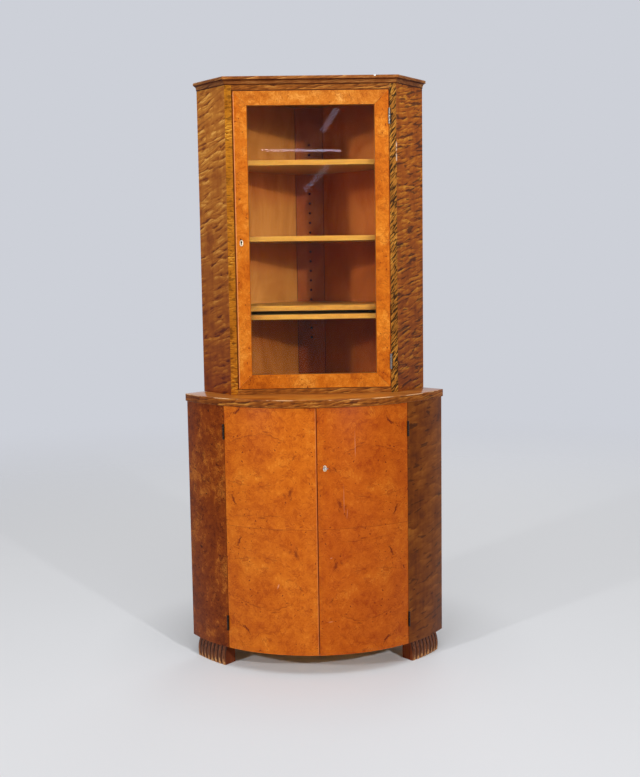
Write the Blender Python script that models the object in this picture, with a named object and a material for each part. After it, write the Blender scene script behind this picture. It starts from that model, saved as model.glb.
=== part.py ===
"""Corner display cabinet: a bow-fronted base on three feet, and a glazed upper case with canted sides.

X runs to the right, -Y out into the room and Z up from the floor. The two walls of the room's corner
are the planes y = ROOM_CORNER_Y - |x|, and the origin lies under the middle of the cabinet.
"""
import math

import bmesh
import bpy
from mathutils import Matrix, Vector

# Whole cabinet
TOTAL_HEIGHT = 1.950
BASE_HEIGHT = 0.914
FOOT_HEIGHT = 0.069
TOUCH_GAP = 0.0003

# Base cabinet
BASE_HALF_WIDTH = 0.434
BOW_RISE = 0.248
DOOR_HALF_SPAN = 0.302
BASE_FRONT_THICKNESS = 0.020
BASE_BOARD_THICKNESS = 0.018
BASE_TOP_THICKNESS = 0.025
BASE_TOP_OVERHANG = 0.007
BASE_TOP_ROUNDING = 0.0015
BASE_SHELF_RISE = 0.385
BASE_SHELF_SETBACK = 0.035
BATTEN_WIDTH = 0.015
BATTEN_HEIGHT = 0.022
BATTEN_START = 0.020
RAIL_HEIGHT = 0.040
RAIL_THICKNESS = 0.018

# Backs and corner posts, alike in the base and the upper case
BACK_THICKNESS = 0.008
POST_HALF_WIDTH = 0.051
POST_THICKNESS = 0.016

# Feet
FOOT_INNER_DEG = 39.6
FOOT_OUTER_DEG = 57.2
FOOT_DEPTH = 0.050
FOOT_TOP_SETBACK = 0.016
FOOT_BULGE_SETBACK = 0.005
FOOT_TOE_SETBACK = 0.007
FOOT_BULGE_HEIGHT = 0.024
REED_COUNT = 8
REED_DEPTH = 0.003
BACK_FOOT_SIZE = 0.060

# Doors
DOOR_GAP = 0.0015
HINGE_INSET = 0.086

# Upper case
UPPER_HALF_WIDTH = 0.379
UPPER_FRONT_HALF_WIDTH = 0.279
UPPER_FRONT_DEPTH = 0.510
SIDE_THICKNESS = 0.018
CASE_BOARD_THICKNESS = 0.0165
UPPER_DOOR_THICKNESS = 0.020
FRAME_WIDTH = 0.048
REBATE_WIDTH = 0.008
FRAME_LIP = 0.008
GLASS_THICKNESS = 0.003
BEAD_WIDTH = 0.007
MITRE_GAP = 0.0002

# Shelves of the upper case: where their undersides lie, and the pegs that carry them
TOP_SHELF_BELOW_CEILING = 0.2379
MIDDLE_SHELF_ABOVE_KEYHOLE = 0.00155
SPARE_SHELF_ABOVE_FLOOR = 0.259
LOW_SHELF_ABOVE_FLOOR = 0.230
SHELF_THICKNESS = 0.0165
SHELF_CLEARANCE = 0.001
PEG_RADIUS = 0.0025
PEG_REACH = 0.010
PEG_SEAT = 0.006
PEG_HOLE_DEPTH = 0.008
PEG_ROW_START = 0.142
PEG_ROW_MARGIN = 0.130
PEG_ROW_PITCH = 0.0351

# Door stop behind the closing stile of the glazed door
STOP_LAP = 0.004
STOP_DEPTH = 0.015
STOP_GAP = 0.0008

# Cornice
CORNICE_HEIGHT = 0.0255
CORNICE_OVERHANG = 0.015
CORNICE_BED = 0.030
CORNICE_FOOT = 0.002
CORNICE_LIP = 0.0025
CORNICE_NECK = 0.010
CORNICE_LOWER_TIER = 0.0135
CORNICE_GROOVE = 0.0015
CORNICE_ROUNDING = 0.003

# Hinges
HINGE_LENGTH = 0.050
KNUCKLE_COUNT = 5
KNUCKLE_RADIUS = 0.0035
PIN_RADIUS = 0.0015
LEAF_THICKNESS = 0.0012
LEAF_WIDTH = 0.013
LEAF_SPACING = 0.0005
RUNNING_CLEARANCE = 0.0003

# Cupboard locks, key and escutcheons
BASE_BACKSET = 0.025
UPPER_BACKSET = 0.021
BASE_LOCK_DROP = 0.193
LOCK_EDGE_MARGIN = 0.002
LOCK_TAIL = 0.0185
LOCK_DEPTH = 0.011
LOCK_WALL = 0.0015
LOCK_BOLT_HEIGHT = 0.012
LOCK_BOLT_THICKNESS = 0.004
LOCK_BOLT_TRAVEL = 0.008
KEEPER_WIDTH = 0.014
KEYHOLE_RADIUS = 0.0030
KEYHOLE_SLOT_WIDTH = 0.0028
KEYHOLE_RISE = 0.0035
ESCUTCHEON_WIDTH = 0.011
ESCUTCHEON_HEIGHT = 0.020
ESCUTCHEON_THICKNESS = 0.0012
KEY_SHANK_RADIUS = 0.0023
KEY_BIT_REACH = 0.008
KEY_BIT_THICKNESS = 0.0018
KEY_STANDOFF = 0.022
KEY_BOW_HALF_WIDTH = 0.0085
KEY_BOW_HALF_LENGTH = 0.0065
KEY_BOW_RADIUS = 0.0015

# Slide bolt that holds the left base door
SLIDE_BOLT_OFFSET = 0.060
SLIDE_BOLT_RADIUS = 0.003
SLIDE_BOLT_LENGTH = 0.070
SLIDE_BOLT_TRAVEL = 0.012
SLIDE_BOLT_REST_GAP = 0.003
SLIDE_CASE_WIDTH = 0.014
SLIDE_CASE_DEPTH = 0.011
SLIDE_CASE_LENGTH = 0.045
SLIDE_SLOT_WIDTH = 0.005
SLIDE_KNOB_RADIUS = 0.002
SLIDE_KNOB_REACH = 0.006

# Fineness of the round shapes
ARC_STEP_DEG = 2.4
SHARP_EDGE_DEG = 35.0
EASED_EDGE_DEG = 60.0
EASED_EDGE_SEGMENTS = 2
ROUND_SEGMENTS = 12
REED_STEPS = 6
FOOT_LEVELS = 6
COVE_STEPS = 4
BOW_STEPS = 20

# The bow in plan: a circle through both wall ends and the foremost point
SQRT2 = math.sqrt(2.0)
BOW_RADIUS = (BASE_HALF_WIDTH ** 2 + BOW_RISE ** 2) / (2.0 * BOW_RISE)
BOW_CENTRE_DEPTH = BASE_HALF_WIDTH + BOW_RISE - BOW_RADIUS
BASE_INNER_RADIUS = BOW_RADIUS - BASE_FRONT_THICKNESS
KEY_DEG = math.degrees(math.asin(BASE_BACKSET / BOW_RADIUS))
SLIDE_BOLT_DEG = -math.degrees(math.asin(SLIDE_BOLT_OFFSET / BOW_RADIUS))
DOOR_JOINT_DEG = math.degrees(math.asin(DOOR_HALF_SPAN / BOW_RADIUS))
HALF_GAP_DEG = math.degrees(DOOR_GAP / 2.0 / BOW_RADIUS)

# Depths from the room's corner, and the corner's place that centres the cabinet over the origin
POST_WALL_HALF_WIDTH = POST_HALF_WIDTH + BACK_THICKNESS * SQRT2
REAR_DEPTH = POST_WALL_HALF_WIDTH - POST_THICKNESS
KEY_BOW_DEPTH = math.hypot(KEY_BOW_HALF_WIDTH * math.sin(math.radians(KEY_DEG)),
                           KEY_BOW_HALF_LENGTH * math.cos(math.radians(KEY_DEG))) + KEY_BOW_RADIUS
KEY_TIP_DEPTH = (BOW_CENTRE_DEPTH + KEY_BOW_DEPTH
                 + (BOW_RADIUS + KEY_STANDOFF) * math.cos(math.radians(KEY_DEG)))
ROOM_CORNER_Y = (REAR_DEPTH + KEY_TIP_DEPTH) / 2.0
BOW_CENTRE_Y = ROOM_CORNER_Y - BOW_CENTRE_DEPTH
POST_FACE_Y = ROOM_CORNER_Y - POST_WALL_HALF_WIDTH
UPPER_FRONT_Y = ROOM_CORNER_Y - UPPER_FRONT_DEPTH
UPPER_DOOR_BACK_Y = UPPER_FRONT_Y + UPPER_DOOR_THICKNESS

# Heights
BASE_TOP_UNDERSIDE = BASE_HEIGHT - BASE_TOP_THICKNESS
BASE_WALL_TOP = BASE_TOP_UNDERSIDE - TOUCH_GAP
BASE_FLOOR_TOP = FOOT_HEIGHT + BASE_BOARD_THICKNESS
BASE_DOOR_TOP = BASE_TOP_UNDERSIDE - DOOR_GAP
BASE_KEY_HEIGHT = BASE_DOOR_TOP - BASE_LOCK_DROP
RAIL_BOTTOM = BASE_WALL_TOP - RAIL_HEIGHT
UPPER_BOTTOM = BASE_HEIGHT + TOUCH_GAP
UPPER_FLOOR_TOP = UPPER_BOTTOM + CASE_BOARD_THICKNESS
CORNICE_BOTTOM = TOTAL_HEIGHT - CORNICE_HEIGHT
UPPER_WALL_TOP = CORNICE_BOTTOM - TOUCH_GAP
UPPER_CEILING = UPPER_WALL_TOP - CASE_BOARD_THICKNESS
UPPER_DOOR_BOTTOM = UPPER_FLOOR_TOP + DOOR_GAP
UPPER_DOOR_TOP = UPPER_CEILING - DOOR_GAP
UPPER_KEY_HEIGHT = (UPPER_DOOR_BOTTOM + UPPER_DOOR_TOP) / 2.0
SHELF_UNDERSIDES = [UPPER_CEILING - TOP_SHELF_BELOW_CEILING, UPPER_KEY_HEIGHT + MIDDLE_SHELF_ABOVE_KEYHOLE,
                    UPPER_FLOOR_TOP + SPARE_SHELF_ABOVE_FLOOR, UPPER_FLOOR_TOP + LOW_SHELF_ABOVE_FLOOR]
PEG_HEIGHTS = [underside - TOUCH_GAP - PEG_RADIUS for underside in SHELF_UNDERSIDES]

# Finishes: colour, roughness, metallic
HONEY_BIRCH = ("#D8802C", 0.30, 0.0)
GOLD_BIRCH = ("#B8802F", 0.30, 0.0)
RED_BROWN_WOOD = ("#70401E", 0.32, 0.0)
TOP_WOOD = ("#96601F", 0.22, 0.0)
CORNICE_WOOD = ("#8A5428", 0.34, 0.0)
INNER_WOOD = ("#9A5A2C", 0.50, 0.0)
SHELF_WOOD = ("#E2A040", 0.40, 0.0)
FOOT_WOOD = ("#4A2E20", 0.45, 0.0)
PLAIN_WOOD = ("#A9743C", 0.60, 0.0)
STEEL = ("#B8AFA6", 0.28, 1.0)
BRASS = ("#D8BC8C", 0.30, 1.0)
GLASS = ("#E8F0EE", 0.05, 0.0)


def linear(hex_colour):
    """Turns an sRGB hex colour into the linear values that a shader takes."""
    channels = [int(hex_colour[at:at + 2], 16) / 255.0 for at in (1, 3, 5)]
    return [c / 12.92 if c <= 0.04045 else ((c + 0.055) / 1.055) ** 2.4 for c in channels]


def finish_material(name, finish):
    """A material of the object's own, from one of the finishes."""
    colour, roughness, metallic = finish
    material = bpy.data.materials.new(name)
    material.use_nodes = True
    shader = material.node_tree.nodes["Principled BSDF"]
    shader.inputs["Base Color"].default_value = (*linear(colour), 1.0)
    shader.inputs["Roughness"].default_value = roughness
    shader.inputs["Metallic"].default_value = metallic
    return material


def add_piece(name, mesh, finish, place=Matrix.Identity(4), pivot=None):
    """Adds one named piece, and hangs it on its pivot where it moves."""
    mesh.name = name
    mesh.shade_smooth()
    mesh.set_sharp_from_angle(angle=math.radians(SHARP_EDGE_DEG))
    piece = bpy.data.objects.new(name, mesh)
    piece.data.materials.clear()
    piece.data.materials.append(finish_material(name, finish))
    bpy.context.scene.collection.objects.link(piece)
    piece.location = place.translation
    piece.rotation_euler = place.to_euler()
    hang(piece, pivot)
    return piece


def hang(child, pivot):
    """Parents child to a pivot and leaves it where it is."""
    if pivot is not None:
        child.parent = pivot
        child.matrix_parent_inverse = Matrix.Translation(pivot["axis_point"]).inverted()


def add_pivot(name, point, parent=None):
    """An empty on a joint's axis. Everything on one moving body hangs on its pivot."""
    empty = bpy.data.objects.new(name, None)
    bpy.context.scene.collection.objects.link(empty)
    empty.location = point
    empty["axis_point"] = tuple(point)
    hang(empty, parent)
    return empty


def ring_solid(rings, wrap=False):
    """A closed mesh through rings of points, capped at both ends or wrapped round to the first ring."""
    shape = bmesh.new()
    loops = [[shape.verts.new(point) for point in ring] for ring in rings]
    pairs = list(zip(loops, loops[1:]))
    if wrap:
        pairs.append((loops[-1], loops[0]))
    else:
        shape.faces.new(loops[0])
        shape.faces.new(loops[-1])
    for lower, upper in pairs:
        for at in range(len(lower)):
            following = (at + 1) % len(lower)
            shape.faces.new((lower[at], lower[following], upper[following], upper[at]))
    bmesh.ops.recalc_face_normals(shape, faces=shape.faces)
    mesh = bpy.data.meshes.new("shape")
    shape.to_mesh(mesh)
    shape.free()
    return mesh


def prism(outline, bottom, top):
    """A plan outline raised from bottom to top."""
    return ring_solid([[(x, y, z) for x, y in outline] for z in (bottom, top)])


def box(low, high):
    """A box between two corners."""
    outline = [(low[0], low[1]), (high[0], low[1]), (high[0], high[1]), (low[0], high[1])]
    return prism(outline, low[2], high[2])


def circle(radius, segments=ROUND_SEGMENTS):
    """Points round a circle about the origin."""
    turns = [2.0 * math.pi * step / segments for step in range(segments)]
    return [(radius * math.cos(turn), radius * math.sin(turn)) for turn in turns]


def upright_rod(radius, bottom, top, x=0.0, y=0.0):
    """A round rod along Z."""
    return prism([(x + dx, y + dy) for dx, dy in circle(radius)], bottom, top)


def rod_along_y(radius, start, end, x=0.0, z=0.0):
    """A round rod along Y."""
    return ring_solid([[(x + dx, y, z + dz) for dx, dz in circle(radius)] for y in (start, end)])


def moved(mesh, place):
    """The mesh, carried to another place."""
    mesh.transform(place)
    return mesh


def combined(mesh, tools, operation):
    """Joins the tool meshes to the mesh, or cuts them from it, and returns the result."""
    scratch = [bpy.data.objects.new("scratch", shape) for shape in [mesh] + tools]
    for shape in scratch:
        bpy.context.scene.collection.objects.link(shape)
        shape.hide_render = True
        shape.display_type = "WIRE"
    for tool in scratch[1:]:
        modifier = scratch[0].modifiers.new("shape", "BOOLEAN")
        modifier.operation = operation
        modifier.object = tool
    graph = bpy.context.evaluated_depsgraph_get()
    result = bpy.data.meshes.new_from_object(scratch[0].evaluated_get(graph))
    for shape in scratch:
        bpy.data.objects.remove(shape, do_unlink=True)
    return result


def carved(mesh, tools):
    """The mesh with the tools cut out of it."""
    return combined(mesh, tools, "DIFFERENCE")


def joined(mesh, tools):
    """The mesh and the tools as one body."""
    return combined(mesh, tools, "UNION")


def bow_point(radius, angle_deg):
    """Plan point at this radius from the bow's centre, angles counted from straight ahead to the right."""
    turn = math.radians(angle_deg)
    return (radius * math.sin(turn), BOW_CENTRE_Y - radius * math.cos(turn))


def bow_arc(radius, start_deg, end_deg):
    """Plan points along the bow from one angle to another."""
    steps = max(1, math.ceil(abs(end_deg - start_deg) / ARC_STEP_DEG))
    return [bow_point(radius, start_deg + (end_deg - start_deg) * step / steps) for step in range(steps + 1)]


def bow_place(radius, angle_deg, height):
    """A place on the bow: its X runs along the bow, its -Y straight out of it."""
    x, y = bow_point(radius, angle_deg)
    return Matrix.Translation((x, y, height)) @ Matrix.Rotation(math.radians(angle_deg), 4, "Z")


def wall_deg(radius, inset=0.0):
    """Angle at which this radius meets the right-hand wall, or a plane that lies inset before it."""
    return 45.0 + math.degrees(math.asin((BOW_CENTRE_DEPTH - inset * SQRT2) / (radius * SQRT2)))


def wall_x(y, inset=0.0):
    """Where the right-hand wall, or a plane that lies inset before it, crosses this y."""
    return ROOM_CORNER_Y - y - inset * SQRT2


def mirrored(outline):
    """The left-hand copy of a right-hand outline."""
    return [(-x, y) for x, y in reversed(outline)]


def both_halves(outline):
    """A right-hand half outline and its mirror image as one outline."""
    return outline + mirrored(outline)


def crossing(first, second):
    """Where two plan lines meet. A line is a point and a direction."""
    start, along = first
    other_start, other = second
    span = other_start - start
    reach = (span.x * other.y - span.y * other.x) / (along.x * other.y - along.y * other.x)
    return tuple(start + along * reach)


def wall_line(inset=0.0):
    """The right-hand wall, or a plane that lies inset before it."""
    return (Vector((0.0, ROOM_CORNER_Y - inset * SQRT2)), Vector((1.0, -1.0)))


def level_line(y):
    """A plan line straight across at this y."""
    return (Vector((0.0, y)), Vector((1.0, 0.0)))


def side_direction():
    """Direction of the right-hand canted side, from the wall towards the front."""
    run = UPPER_FRONT_HALF_WIDTH - UPPER_HALF_WIDTH
    return Vector((run, UPPER_HALF_WIDTH - UPPER_FRONT_DEPTH)).normalized()


def side_turn_deg():
    """How far the canted side is turned from a side that runs straight back."""
    along = side_direction()
    return math.degrees(math.atan2(along.x, -along.y))


def side_line(inset=0.0):
    """The outer face of the right-hand canted side, moved inwards by inset."""
    along = side_direction()
    inwards = Vector((along.y, -along.x))
    outer = Vector((UPPER_FRONT_HALF_WIDTH, UPPER_FRONT_Y))
    return (outer + inwards * inset, along)


OPENING_HALF_WIDTH = crossing(side_line(SIDE_THICKNESS), level_line(UPPER_FRONT_Y))[0]
UPPER_DOOR_HALF_WIDTH = OPENING_HALF_WIDTH - DOOR_GAP


# Base cabinet: carcass

def base_floor_outline(front_radius, clearance):
    """Plan of a board inside the base's backs, with a bowed front edge."""
    inset = BACK_THICKNESS + clearance
    back_y = POST_FACE_Y - clearance
    end_deg = wall_deg(front_radius, inset)
    right = [(wall_x(back_y, inset), back_y)]
    return mirrored(right) + right + list(reversed(bow_arc(front_radius, -end_deg, end_deg)))


def wall_panel_outline(front_outer, front_inner):
    """Plan of a right-hand back panel that runs from the corner post to the two given front points."""
    back_y = POST_FACE_Y - TOUCH_GAP
    inner_x = wall_x(back_y, BACK_THICKNESS)
    return [(wall_x(back_y), back_y), front_outer, front_inner, (inner_x, back_y)]


def post_outline():
    """Plan of the board that closes the corner between the two backs."""
    rear_y = POST_FACE_Y + POST_THICKNESS
    return both_halves([(wall_x(POST_FACE_Y), POST_FACE_Y), (wall_x(rear_y), rear_y)])


def add_base_carcass():
    """Floor, stiles, backs, corner post, rail, shelf on its battens and the bowed top board."""
    inside = BASE_INNER_RADIUS - TOUCH_GAP
    floor = prism(base_floor_outline(inside, TOUCH_GAP), FOOT_HEIGHT, BASE_FLOOR_TOP)
    add_piece("base_bottom", floor, PLAIN_WOOD)

    joint_deg = DOOR_JOINT_DEG + HALF_GAP_DEG
    stile = bow_arc(BOW_RADIUS, joint_deg, wall_deg(BOW_RADIUS))
    stile += reversed(bow_arc(BASE_INNER_RADIUS, joint_deg, wall_deg(BASE_INNER_RADIUS)))
    back = wall_panel_outline(bow_point(inside, wall_deg(inside)),
                              bow_point(inside, wall_deg(inside, BACK_THICKNESS)))
    for side, sign, shaped in (("right", 1, list), ("left", -1, mirrored)):
        pockets = [hinge_pocket(base_hinge_place(sign, height), sign) for height in base_hinge_heights()]
        mesh = carved(prism(shaped(stile), FOOT_HEIGHT, BASE_WALL_TOP), pockets)
        add_piece("base_stile_" + side, mesh, RED_BROWN_WOOD)
        add_piece("base_back_" + side, prism(shaped(back), FOOT_HEIGHT, BASE_WALL_TOP), INNER_WOOD)
    add_piece("base_corner_post", prism(post_outline(), FOOT_HEIGHT, BASE_WALL_TOP), INNER_WOOD)

    add_base_rail(inside)
    add_base_shelf()
    add_base_top()


def add_base_rail(outer):
    """The rail behind the doors' upper edge, with the hole that takes the slide bolt."""
    inner = outer - RAIL_THICKNESS
    inset = BACK_THICKNESS + TOUCH_GAP
    outline = bow_arc(outer, -wall_deg(outer, inset), wall_deg(outer, inset))
    outline += reversed(bow_arc(inner, -wall_deg(inner, inset), wall_deg(inner, inset)))
    place = slide_bolt_place()
    hole_top = RAIL_BOTTOM + SLIDE_BOLT_TRAVEL
    hole = upright_rod(SLIDE_BOLT_RADIUS + RUNNING_CLEARANCE, RAIL_BOTTOM - SLIDE_BOLT_TRAVEL, hole_top,
                       y=slide_bolt_depth())
    hole = moved(hole, Matrix.Translation((0.0, 0.0, -place.translation.z)) @ place)
    add_piece("base_front_rail", carved(prism(outline, RAIL_BOTTOM, BASE_WALL_TOP), [hole]), PLAIN_WOOD)


def add_base_shelf():
    """The base's one shelf, on a batten along each back."""
    underside = BASE_FLOOR_TOP + BASE_SHELF_RISE
    front = BASE_INNER_RADIUS - BASE_SHELF_SETBACK
    outline = base_floor_outline(front, SHELF_CLEARANCE)
    add_piece("base_shelf", prism(outline, underside, underside + BASE_BOARD_THICKNESS), PLAIN_WOOD)

    near = BACK_THICKNESS + TOUCH_GAP
    far = near + BATTEN_WIDTH
    start_y = POST_FACE_Y - BATTEN_START
    batten = [(wall_x(start_y, near), start_y), bow_point(front, wall_deg(front, near)),
              bow_point(front, wall_deg(front, far)), (wall_x(start_y, far), start_y)]
    top = underside - TOUCH_GAP
    add_piece("base_shelf_batten_right", prism(batten, top - BATTEN_HEIGHT, top), PLAIN_WOOD)
    add_piece("base_shelf_batten_left", prism(mirrored(batten), top - BATTEN_HEIGHT, top), PLAIN_WOOD)


def add_base_top():
    """The bowed top board, with its long edges eased."""
    rear_y = POST_FACE_Y + POST_THICKNESS
    edge = BOW_RADIUS + BASE_TOP_OVERHANG
    outline = mirrored([(wall_x(rear_y), rear_y)]) + [(wall_x(rear_y), rear_y)]
    outline += reversed(bow_arc(edge, -wall_deg(edge), wall_deg(edge)))
    top = add_piece("base_top", prism(outline, BASE_TOP_UNDERSIDE, BASE_HEIGHT), TOP_WOOD)
    rounding = top.modifiers.new("eased_edges", "BEVEL")
    rounding.width = BASE_TOP_ROUNDING
    rounding.segments = EASED_EDGE_SEGMENTS
    rounding.limit_method = "ANGLE"
    rounding.angle_limit = math.radians(EASED_EDGE_DEG)


def foot_setback(height):
    """How far behind the carcass face the foot's front lies at this height."""
    if height <= FOOT_BULGE_HEIGHT:
        share = 1.0 - height / FOOT_BULGE_HEIGHT
        return FOOT_BULGE_SETBACK + (FOOT_TOE_SETBACK - FOOT_BULGE_SETBACK) * share ** 2
    share = (height - FOOT_BULGE_HEIGHT) / (FOOT_HEIGHT - FOOT_BULGE_HEIGHT)
    return FOOT_BULGE_SETBACK + (FOOT_TOP_SETBACK - FOOT_BULGE_SETBACK) * share ** 2


def reeded_arc(radius):
    """Plan points along a row of half-round reeds whose crests touch this radius."""
    reed_deg = (FOOT_OUTER_DEG - FOOT_INNER_DEG) / REED_COUNT
    points = []
    for step in range(REED_COUNT * REED_STEPS + 1):
        across = 2.0 * (step % REED_STEPS) / REED_STEPS - 1.0
        crest = math.sqrt(max(0.0, 1.0 - across ** 2))
        depth = REED_DEPTH * (1.0 - crest)
        points.append(bow_point(radius - depth, FOOT_INNER_DEG + reed_deg * step / REED_STEPS))
    return points


def add_feet():
    """Two reeded feet that follow the bow, and a plain block under the back corner."""
    top = FOOT_HEIGHT - TOUCH_GAP
    inner = BOW_RADIUS - FOOT_BULGE_SETBACK - FOOT_DEPTH
    rear = list(reversed(bow_arc(inner, FOOT_INNER_DEG, FOOT_OUTER_DEG)))
    rings = []
    for level in range(FOOT_LEVELS + 1):
        height = top * level / FOOT_LEVELS
        outline = reeded_arc(BOW_RADIUS - foot_setback(height)) + rear
        rings.append([(x, y, height) for x, y in outline])
    left_rings = [[(-x, y, z) for x, y, z in ring] for ring in rings]
    add_piece("foot_front_right", ring_solid(rings), FOOT_WOOD)
    add_piece("foot_front_left", ring_solid(left_rings), FOOT_WOOD)
    rear_y = POST_FACE_Y - TOUCH_GAP
    half = BACK_FOOT_SIZE / 2.0
    add_piece("foot_back", box((-half, rear_y - BACK_FOOT_SIZE, 0.0), (half, rear_y, top)), FOOT_WOOD)


# Hinges: five knuckles on a fixed pin, each leaf let into the edge that it is screwed to

def base_hinge_heights():
    """Middle heights of the base hinges, from the bottom up."""
    return (FOOT_HEIGHT + HINGE_INSET, BASE_DOOR_TOP - HINGE_INSET)


def base_hinge_place(sign, height):
    """Place of a base hinge: its Z is the axis, just clear of the bow's outer face."""
    return bow_place(BOW_RADIUS + KNUCKLE_RADIUS + TOUCH_GAP, sign * DOOR_JOINT_DEG, height)


def upper_hinge_heights():
    """Middle heights of the upper hinges, from the bottom up."""
    return (UPPER_DOOR_BOTTOM + HINGE_INSET, UPPER_DOOR_TOP - HINGE_INSET)


def upper_hinge_place(height):
    """Place of an upper hinge, on the right of the glazed door."""
    y = UPPER_FRONT_Y - KNUCKLE_RADIUS - TOUCH_GAP
    return Matrix.Translation((UPPER_DOOR_HALF_WIDTH + DOOR_GAP / 2.0, y, height))


def leaf_span():
    """The two faces of a leaf, counted sideways from the hinge's axis."""
    near = LEAF_SPACING / 2.0
    return near, near + LEAF_THICKNESS


def leaf_reach():
    """How far in from the axis a leaf reaches."""
    return KNUCKLE_RADIUS + TOUCH_GAP + LEAF_WIDTH


def hinge_pocket(place, sign, turn_deg=0.0, mouth=DOOR_GAP):
    """The recess for one leaf, on the side of the axis that sign names, open this far past the axis."""
    far = leaf_span()[1]
    low = (-mouth, 0.0, -HINGE_LENGTH / 2.0 - TOUCH_GAP)
    high = (far + TOUCH_GAP, leaf_reach() + TOUCH_GAP, HINGE_LENGTH / 2.0 + TOUCH_GAP)
    pocket = box(low, high)
    if sign < 0:
        pocket = moved(pocket, Matrix.Rotation(math.pi, 4, "Y"))
    return moved(pocket, place @ Matrix.Rotation(math.radians(turn_deg), 4, "Z"))


def knuckle_spans(first):
    """Heights of every second knuckle, starting with the first or the second."""
    pitch = HINGE_LENGTH / KNUCKLE_COUNT
    slack = RUNNING_CLEARANCE / 2.0
    spans = []
    for at in range(first, KNUCKLE_COUNT, 2):
        bottom = -HINGE_LENGTH / 2.0 + at * pitch
        spans.append((bottom + slack, bottom + pitch - slack))
    return spans


def leaf_mesh(first, is_frame_leaf):
    """One leaf with its knuckles. The frame leaf carries the pin, the door leaf turns on it."""
    near, far = leaf_span()
    half = HINGE_LENGTH / 2.0 - RUNNING_CLEARANCE / 2.0
    plate_start = KNUCKLE_RADIUS + TOUCH_GAP
    plate = box((near, plate_start, -half), (far, leaf_reach(), half))
    shapes = []
    neck_start = PIN_RADIUS + RUNNING_CLEARANCE
    for bottom, top in knuckle_spans(first):
        shapes.append(upright_rod(KNUCKLE_RADIUS, bottom, top))
        shapes.append(box((near, neck_start, bottom), (far, plate_start + LEAF_THICKNESS, top)))
    if is_frame_leaf:
        return joined(plate, shapes + [upright_rod(PIN_RADIUS, -half, half)])
    bore = upright_rod(neck_start, -HINGE_LENGTH, HINGE_LENGTH)
    return carved(joined(plate, shapes), [bore])


def add_hinge(name, place, sign, pivot, frame_turn_deg=0.0):
    """A frame leaf and a door leaf. Sign is +1 where the frame lies to the right of the axis."""
    frame_mesh = leaf_mesh(0, True)
    door_mesh = leaf_mesh(1, False)
    half_turn = Matrix.Rotation(math.pi, 4, "Y")
    if sign < 0:
        frame_mesh.transform(half_turn)
    else:
        door_mesh.transform(half_turn)
    frame_place = place @ Matrix.Rotation(math.radians(frame_turn_deg), 4, "Z")
    add_piece(name + "_frame_leaf", frame_mesh, STEEL, frame_place)
    add_piece(name + "_door_leaf", door_mesh, STEEL, place, pivot)


# Locks, key and escutcheons. In a lock's own frame the keyhole is the Y axis, the face that the lock is
# screwed to is y = 0, and the bolt shoots towards -X.

def keyhole_tools(start, end):
    """The round and the slot of a keyhole, as rods from one y to another."""
    half = KEYHOLE_SLOT_WIDTH / 2.0
    slot_bottom = -KEY_BIT_REACH - RUNNING_CLEARANCE
    slot = box((-half, start, slot_bottom), (half, end, 0.0))
    return [rod_along_y(KEYHOLE_RADIUS, start, end), slot]


def lock_bolt_span():
    """Bottom and top of a lock's bolt above the keyhole's axis, clear of the turning bit."""
    bottom = KEY_BIT_REACH + 2.0 * RUNNING_CLEARANCE
    return bottom, bottom + LOCK_BOLT_HEIGHT


def lock_bolt_faces(seat):
    """Front and back of a lock's bolt, for a case whose rim lies at this y."""
    front = seat + (LOCK_DEPTH - LOCK_WALL - LOCK_BOLT_THICKNESS) / 2.0
    return front, front + LOCK_BOLT_THICKNESS


def lock_case_mesh(reach, seat):
    """A lock case: a shallow box, open towards the door, with a slot for its bolt."""
    bolt_bottom, bolt_top = lock_bolt_span()
    bolt_front, bolt_back = lock_bolt_faces(seat)
    sweep = KEY_BIT_REACH + 2.0 * RUNNING_CLEARANCE
    ceiling = bolt_top + 2.0 * RUNNING_CLEARANCE
    shell = box((-reach, seat, -sweep - LOCK_WALL), (LOCK_TAIL, seat + LOCK_DEPTH, ceiling + LOCK_WALL))
    hollow = box((-reach + LOCK_WALL, seat - LOCK_WALL, -sweep),
                 (LOCK_TAIL - LOCK_WALL, seat + LOCK_DEPTH - LOCK_WALL, ceiling))
    slot = box((-reach - LOCK_WALL, bolt_front - RUNNING_CLEARANCE, bolt_bottom - RUNNING_CLEARANCE),
               (-reach + 2.0 * LOCK_WALL, bolt_back + RUNNING_CLEARANCE, bolt_top + RUNNING_CLEARANCE))
    return carved(shell, [hollow, slot])


def lock_bolt_mesh(reach, seat):
    """The bolt of a lock, drawn back so that its end is flush with the case."""
    bottom, top = lock_bolt_span()
    front, back = lock_bolt_faces(seat)
    tail = LOCK_TAIL - LOCK_WALL - RUNNING_CLEARANCE
    return box((-reach, front, bottom), (tail, back, top))


def escutcheon_mesh(face_y):
    """An upright plate with round ends and a keyhole, lying on the face at this y."""
    half_width = ESCUTCHEON_WIDTH / 2.0
    straight = ESCUTCHEON_HEIGHT / 2.0 - half_width
    outline = []
    for start, shift in ((0.0, straight), (math.pi, -straight)):
        for step in range(ROUND_SEGMENTS // 2 + 1):
            turn = start + 2.0 * math.pi * step / ROUND_SEGMENTS
            outline.append((half_width * math.cos(turn), half_width * math.sin(turn) + shift - KEYHOLE_RISE))
    back = face_y - TOUCH_GAP
    front = back - ESCUTCHEON_THICKNESS
    plate = ring_solid([[(x, y, z) for x, z in outline] for y in (front, back)])
    return carved(plate, keyhole_tools(front - LOCK_WALL, back + LOCK_WALL))


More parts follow.
